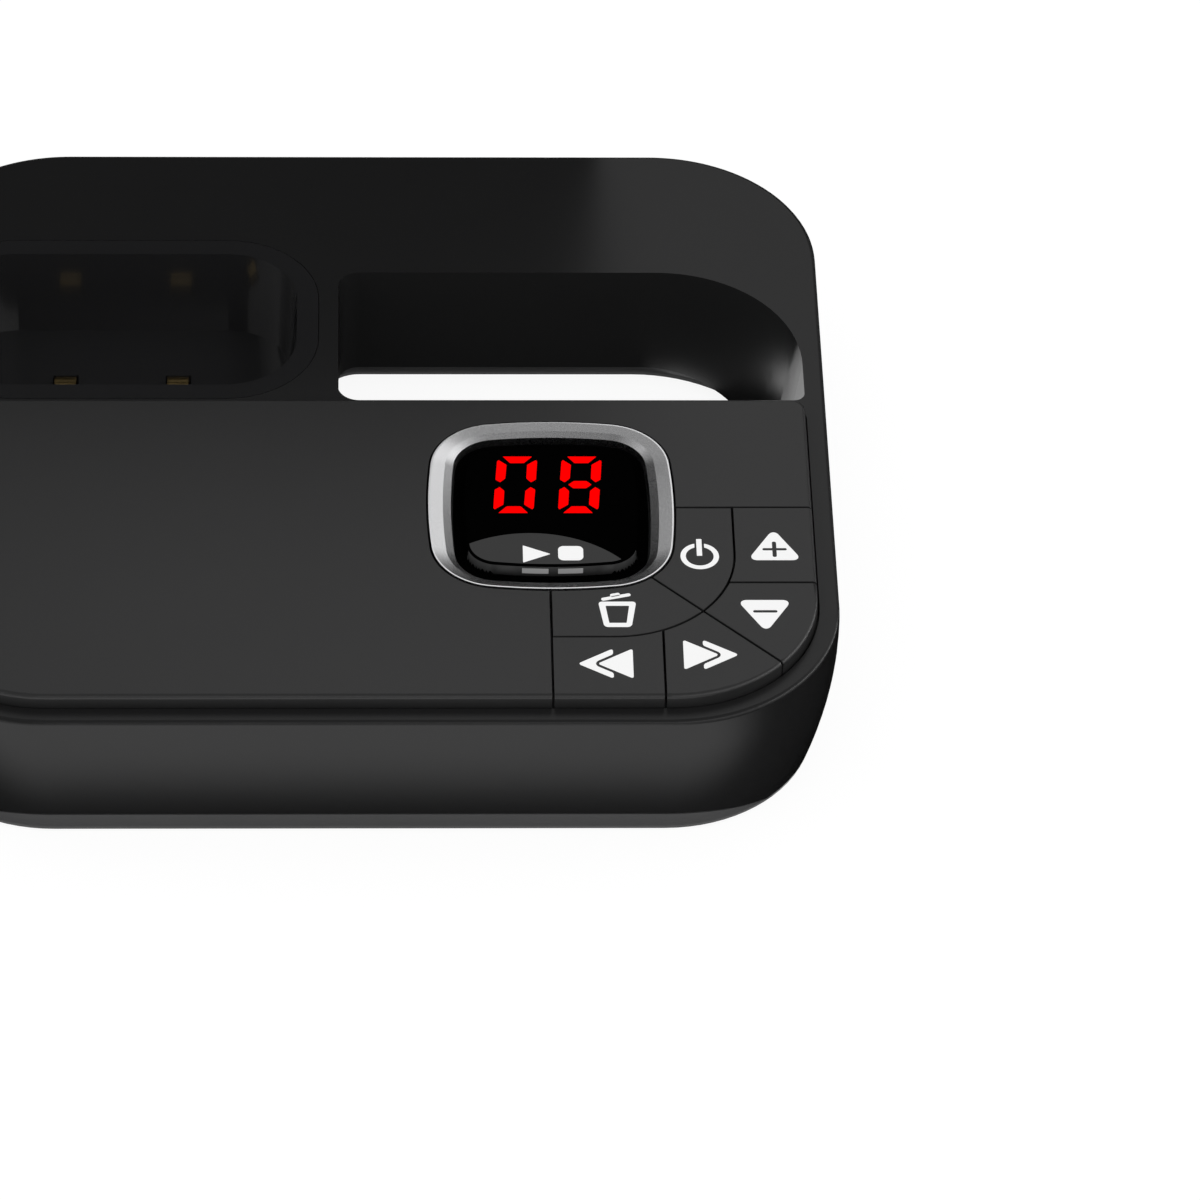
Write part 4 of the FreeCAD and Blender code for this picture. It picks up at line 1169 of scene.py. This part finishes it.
@dataclass
class WindowArt:
    """What shows in the window: two lit digits, a grey field, the play and stop signs, painted reflections.

    Sizes and places are in millimetres, places from the middle and from the deck's front edge.

    Args:
        deck: The places on the deck.
        face: The height of the window's face, in metres.
        digits: The middle of the two digits.
        pitch: From one digit to the next.
        lean: How far the digits lean over, as a share of their height.
        bar_corner: The rounding of the digits' bars.
        field_margin: From the edge of the window's face to the grey field.
        arch: The middle of the arch over the field.
        arch_radius: The arch's radius.
        arch_steps: Steps round the arch's whole circle.
        triangle: The corners of the play sign.
        triangle_corner: Their rounding.
        square: The middle of the stop sign.
        square_size: Its length and width.
        square_corner: The rounding of its corners.
        band: How far under the face the front wall's films, which are painted reflections, begin and end.
        painted_reflections: The middle and the length along X of the signs' painted reflections.
        painted_reflections_line: Where the painted reflections lie, along Y.
        painted_reflections_depth: How deep a box takes the painted reflections out of the film.
        painted_reflections_drop: How far under the face the painted reflections begin.
        painted_reflections_height: Their height.
    """

    deck: DeckPlace
    face: float = field(default_factory=lambda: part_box("window_key")[1].z)
    digits: Pair = (25.83, 42.69)
    pitch: float = 8.88
    lean: float = 0.066
    bar_corner: float = 0.1
    field_margin: float = 0.08
    arch: Pair = (23.2, 15.65)
    arch_radius: float = 17.03
    arch_steps: int = 360
    triangle: tuple[Pair, ...] = ((22.2, 26.66), (25.95, 28.4), (22.2, 30.16))
    triangle_corner: float = 0.12
    square: Pair = (28.7, 28.56)
    square_size: Pair = (3.42, 2.9)
    square_corner: float = 0.75
    band: Pair = (0.2, 1.5)
    painted_reflections: tuple[Pair, ...] = ((23.85, 3.6), (28.65, 3.4))
    painted_reflections_line: float = 25.0
    painted_reflections_depth: float = 4.0
    painted_reflections_drop: float = 1.25
    painted_reflections_height: float = 0.75

    def build(self) -> list[bpy.types.Object]:
        """Make everything in the window.

        Returns:
            The pieces.
        """
        window = "window_key"
        return [
            dress(self.lit_digits(), Finishes.RED, window),
            dress(self.grey_field(), Finishes.GREY, window),
            # Grey film on the lens's front wall: a painted reflection, as the lens itself reflects next to
            # nothing.
            dress(self.wall("painted_front_reflection", self.deck.ink), Finishes.GREY, window),
            dress(self.play(), Finishes.WHITE, window),
            dress(self.stop(), Finishes.WHITE, window),
            # Painted reflections of the play and stop signs on the lens's front wall.
            dress(self.glow(), Finishes.PALE, window),
        ]

    def digit(self, x: float, digit: Digit) -> list[bpy.types.Object]:
        """Make the lit bars of one digit.

        Args:
            x: The digit's middle, along X.
            digit: The digit.

        Returns:
            The bars.
        """
        y = self.digits[1]
        bars = []
        for segment in digit.value:
            points = [self.deck.at(x + along + up * self.lean, y + up) for along, up in segment.value]
            piece = outline(points, self.face, "segment")
            round_corners(piece, self.bar_corner * MM, 2)
            thicken(piece, self.deck.ink)
            bars.append(piece)
        return bars

    def lit_digits(self) -> bpy.types.Object:
        """Make the two digits, as one piece."""
        x, half = self.digits[0], self.pitch / 2
        return join(self.digit(x - half, Digit.NOUGHT) + self.digit(x + half, Digit.EIGHT), "lit_digits")

    def faces(self, name: str, wanted: Callable[[Vector, Vector], bool]) -> bpy.types.Object:
        """Copy some faces of the window key.

        Args:
            name: The object's name.
            wanted: Tells from a face's normal and centre whether it is kept.

        Returns:
            The copy.
        """
        piece = copy_of("window_key", name)
        bpy.ops.mesh.select_mode(type="FACE")
        bpy.ops.mesh.select_all(action="DESELECT")
        bpy.ops.object.mode_set(mode="OBJECT")
        for polygon in piece.data.polygons:
            polygon.select = not wanted(polygon.normal, polygon.center)
        bpy.ops.object.mode_set(mode="EDIT")
        bpy.ops.mesh.delete(type="FACE")
        bpy.ops.object.mode_set(mode="OBJECT")
        return piece

    def grey_field(self) -> bpy.types.Object:
        """Make the grey field under a shallow arch, at the front of the window's face.

        Returns:
            The field.
        """
        level, low = 0.99, self.face - 0.01 * MM
        piece = self.faces("sign_field", lambda normal, centre: normal.z > level and centre.z > low)
        edit(piece)
        bpy.ops.mesh.dissolve_limited(angle_limit=math.radians(1))
        bpy.ops.mesh.select_all(action="SELECT")
        bpy.ops.mesh.inset(thickness=self.field_margin * MM)
        bpy.ops.mesh.select_all(action="INVERT")
        bpy.ops.mesh.delete(type="FACE")
        bpy.ops.object.mode_set(mode="OBJECT")
        thicken(piece, self.deck.ink)
        x, y = self.deck.at(*self.arch)
        bpy.ops.mesh.primitive_cylinder_add(vertices=self.arch_steps, radius=self.arch_radius * MM,
                                            depth=2 * self.deck.through, location=(x, y, self.face))
        carve(piece, settle(bpy.context.object), Cut.INSIDE)
        return piece

    def wall(self, name: str, film: float) -> bpy.types.Object:
        """Lay a film on the front wall of the lens, for a painted reflection there.

        Args:
            name: The film's name.
            film: Its thickness, in metres.

        Returns:
            The film.
        """
        high, low = (self.face - drop * MM for drop in self.band)
        towards_front = -0.3
        piece = self.faces(name, lambda normal, centre: normal.y < towards_front and low < centre.z < high)
        solid = piece.modifiers.new("film", "SOLIDIFY")
        solid.thickness, solid.offset = film, 1.0
        apply_modifier(piece, solid)
        return piece

    def play(self) -> bpy.types.Object:
        """Make a triangle that points to the right.

        Returns:
            The play sign.
        """
        piece = outline(self.deck.corners(self.triangle), self.face + self.deck.ink, "play_sign")
        round_corners(piece, self.triangle_corner * MM, 3)
        thicken(piece, self.deck.ink)
        return piece

    def stop(self) -> bpy.types.Object:
        """Make a square with rounded corners.

        Returns:
            The stop sign.
        """
        size = (self.square_size[0] * MM, self.square_size[1] * MM)
        piece = bar(self.deck.at(*self.square), size, 0, self.face + self.deck.ink, self.square_corner * MM,
                    "stop_sign")
        thicken(piece, self.deck.ink)
        return piece

    def glow(self) -> bpy.types.Object:
        """Paint pale patches on the lens's front wall, as painted reflections of the play and stop signs.

        Returns:
            The painted reflections, as one piece.
        """
        # The front wall's film, cut down to one pale patch under each sign: painted reflections.
        piece = self.wall("sign_glow", 2 * self.deck.ink)
        low = self.face - self.painted_reflections_drop * MM
        blocks = []
        for x, long in self.painted_reflections:
            size = (long * MM, self.painted_reflections_depth * MM)
            block = bar(self.deck.at(x, self.painted_reflections_line), size, 0, low, 0.1 * MM, "block")
            thicken(block, self.painted_reflections_height * MM)
            blocks.append(block)
        carve(piece, join(blocks, "blocks"), Cut.INSIDE)
        return piece


def main() -> None:
    """Build the studio, the base, the keys' signs and the window's art, and report each piece."""
    logging.basicConfig(level=logging.INFO)
    deck = DeckPlace()
    for assembly in (Studio(), Base(), KeySigns(deck), WindowArt(deck)):
        for piece in assembly.build():
            LOG.info("%s: %s", type(assembly).__name__, piece.name)


if __name__ == "__main__":
    main()
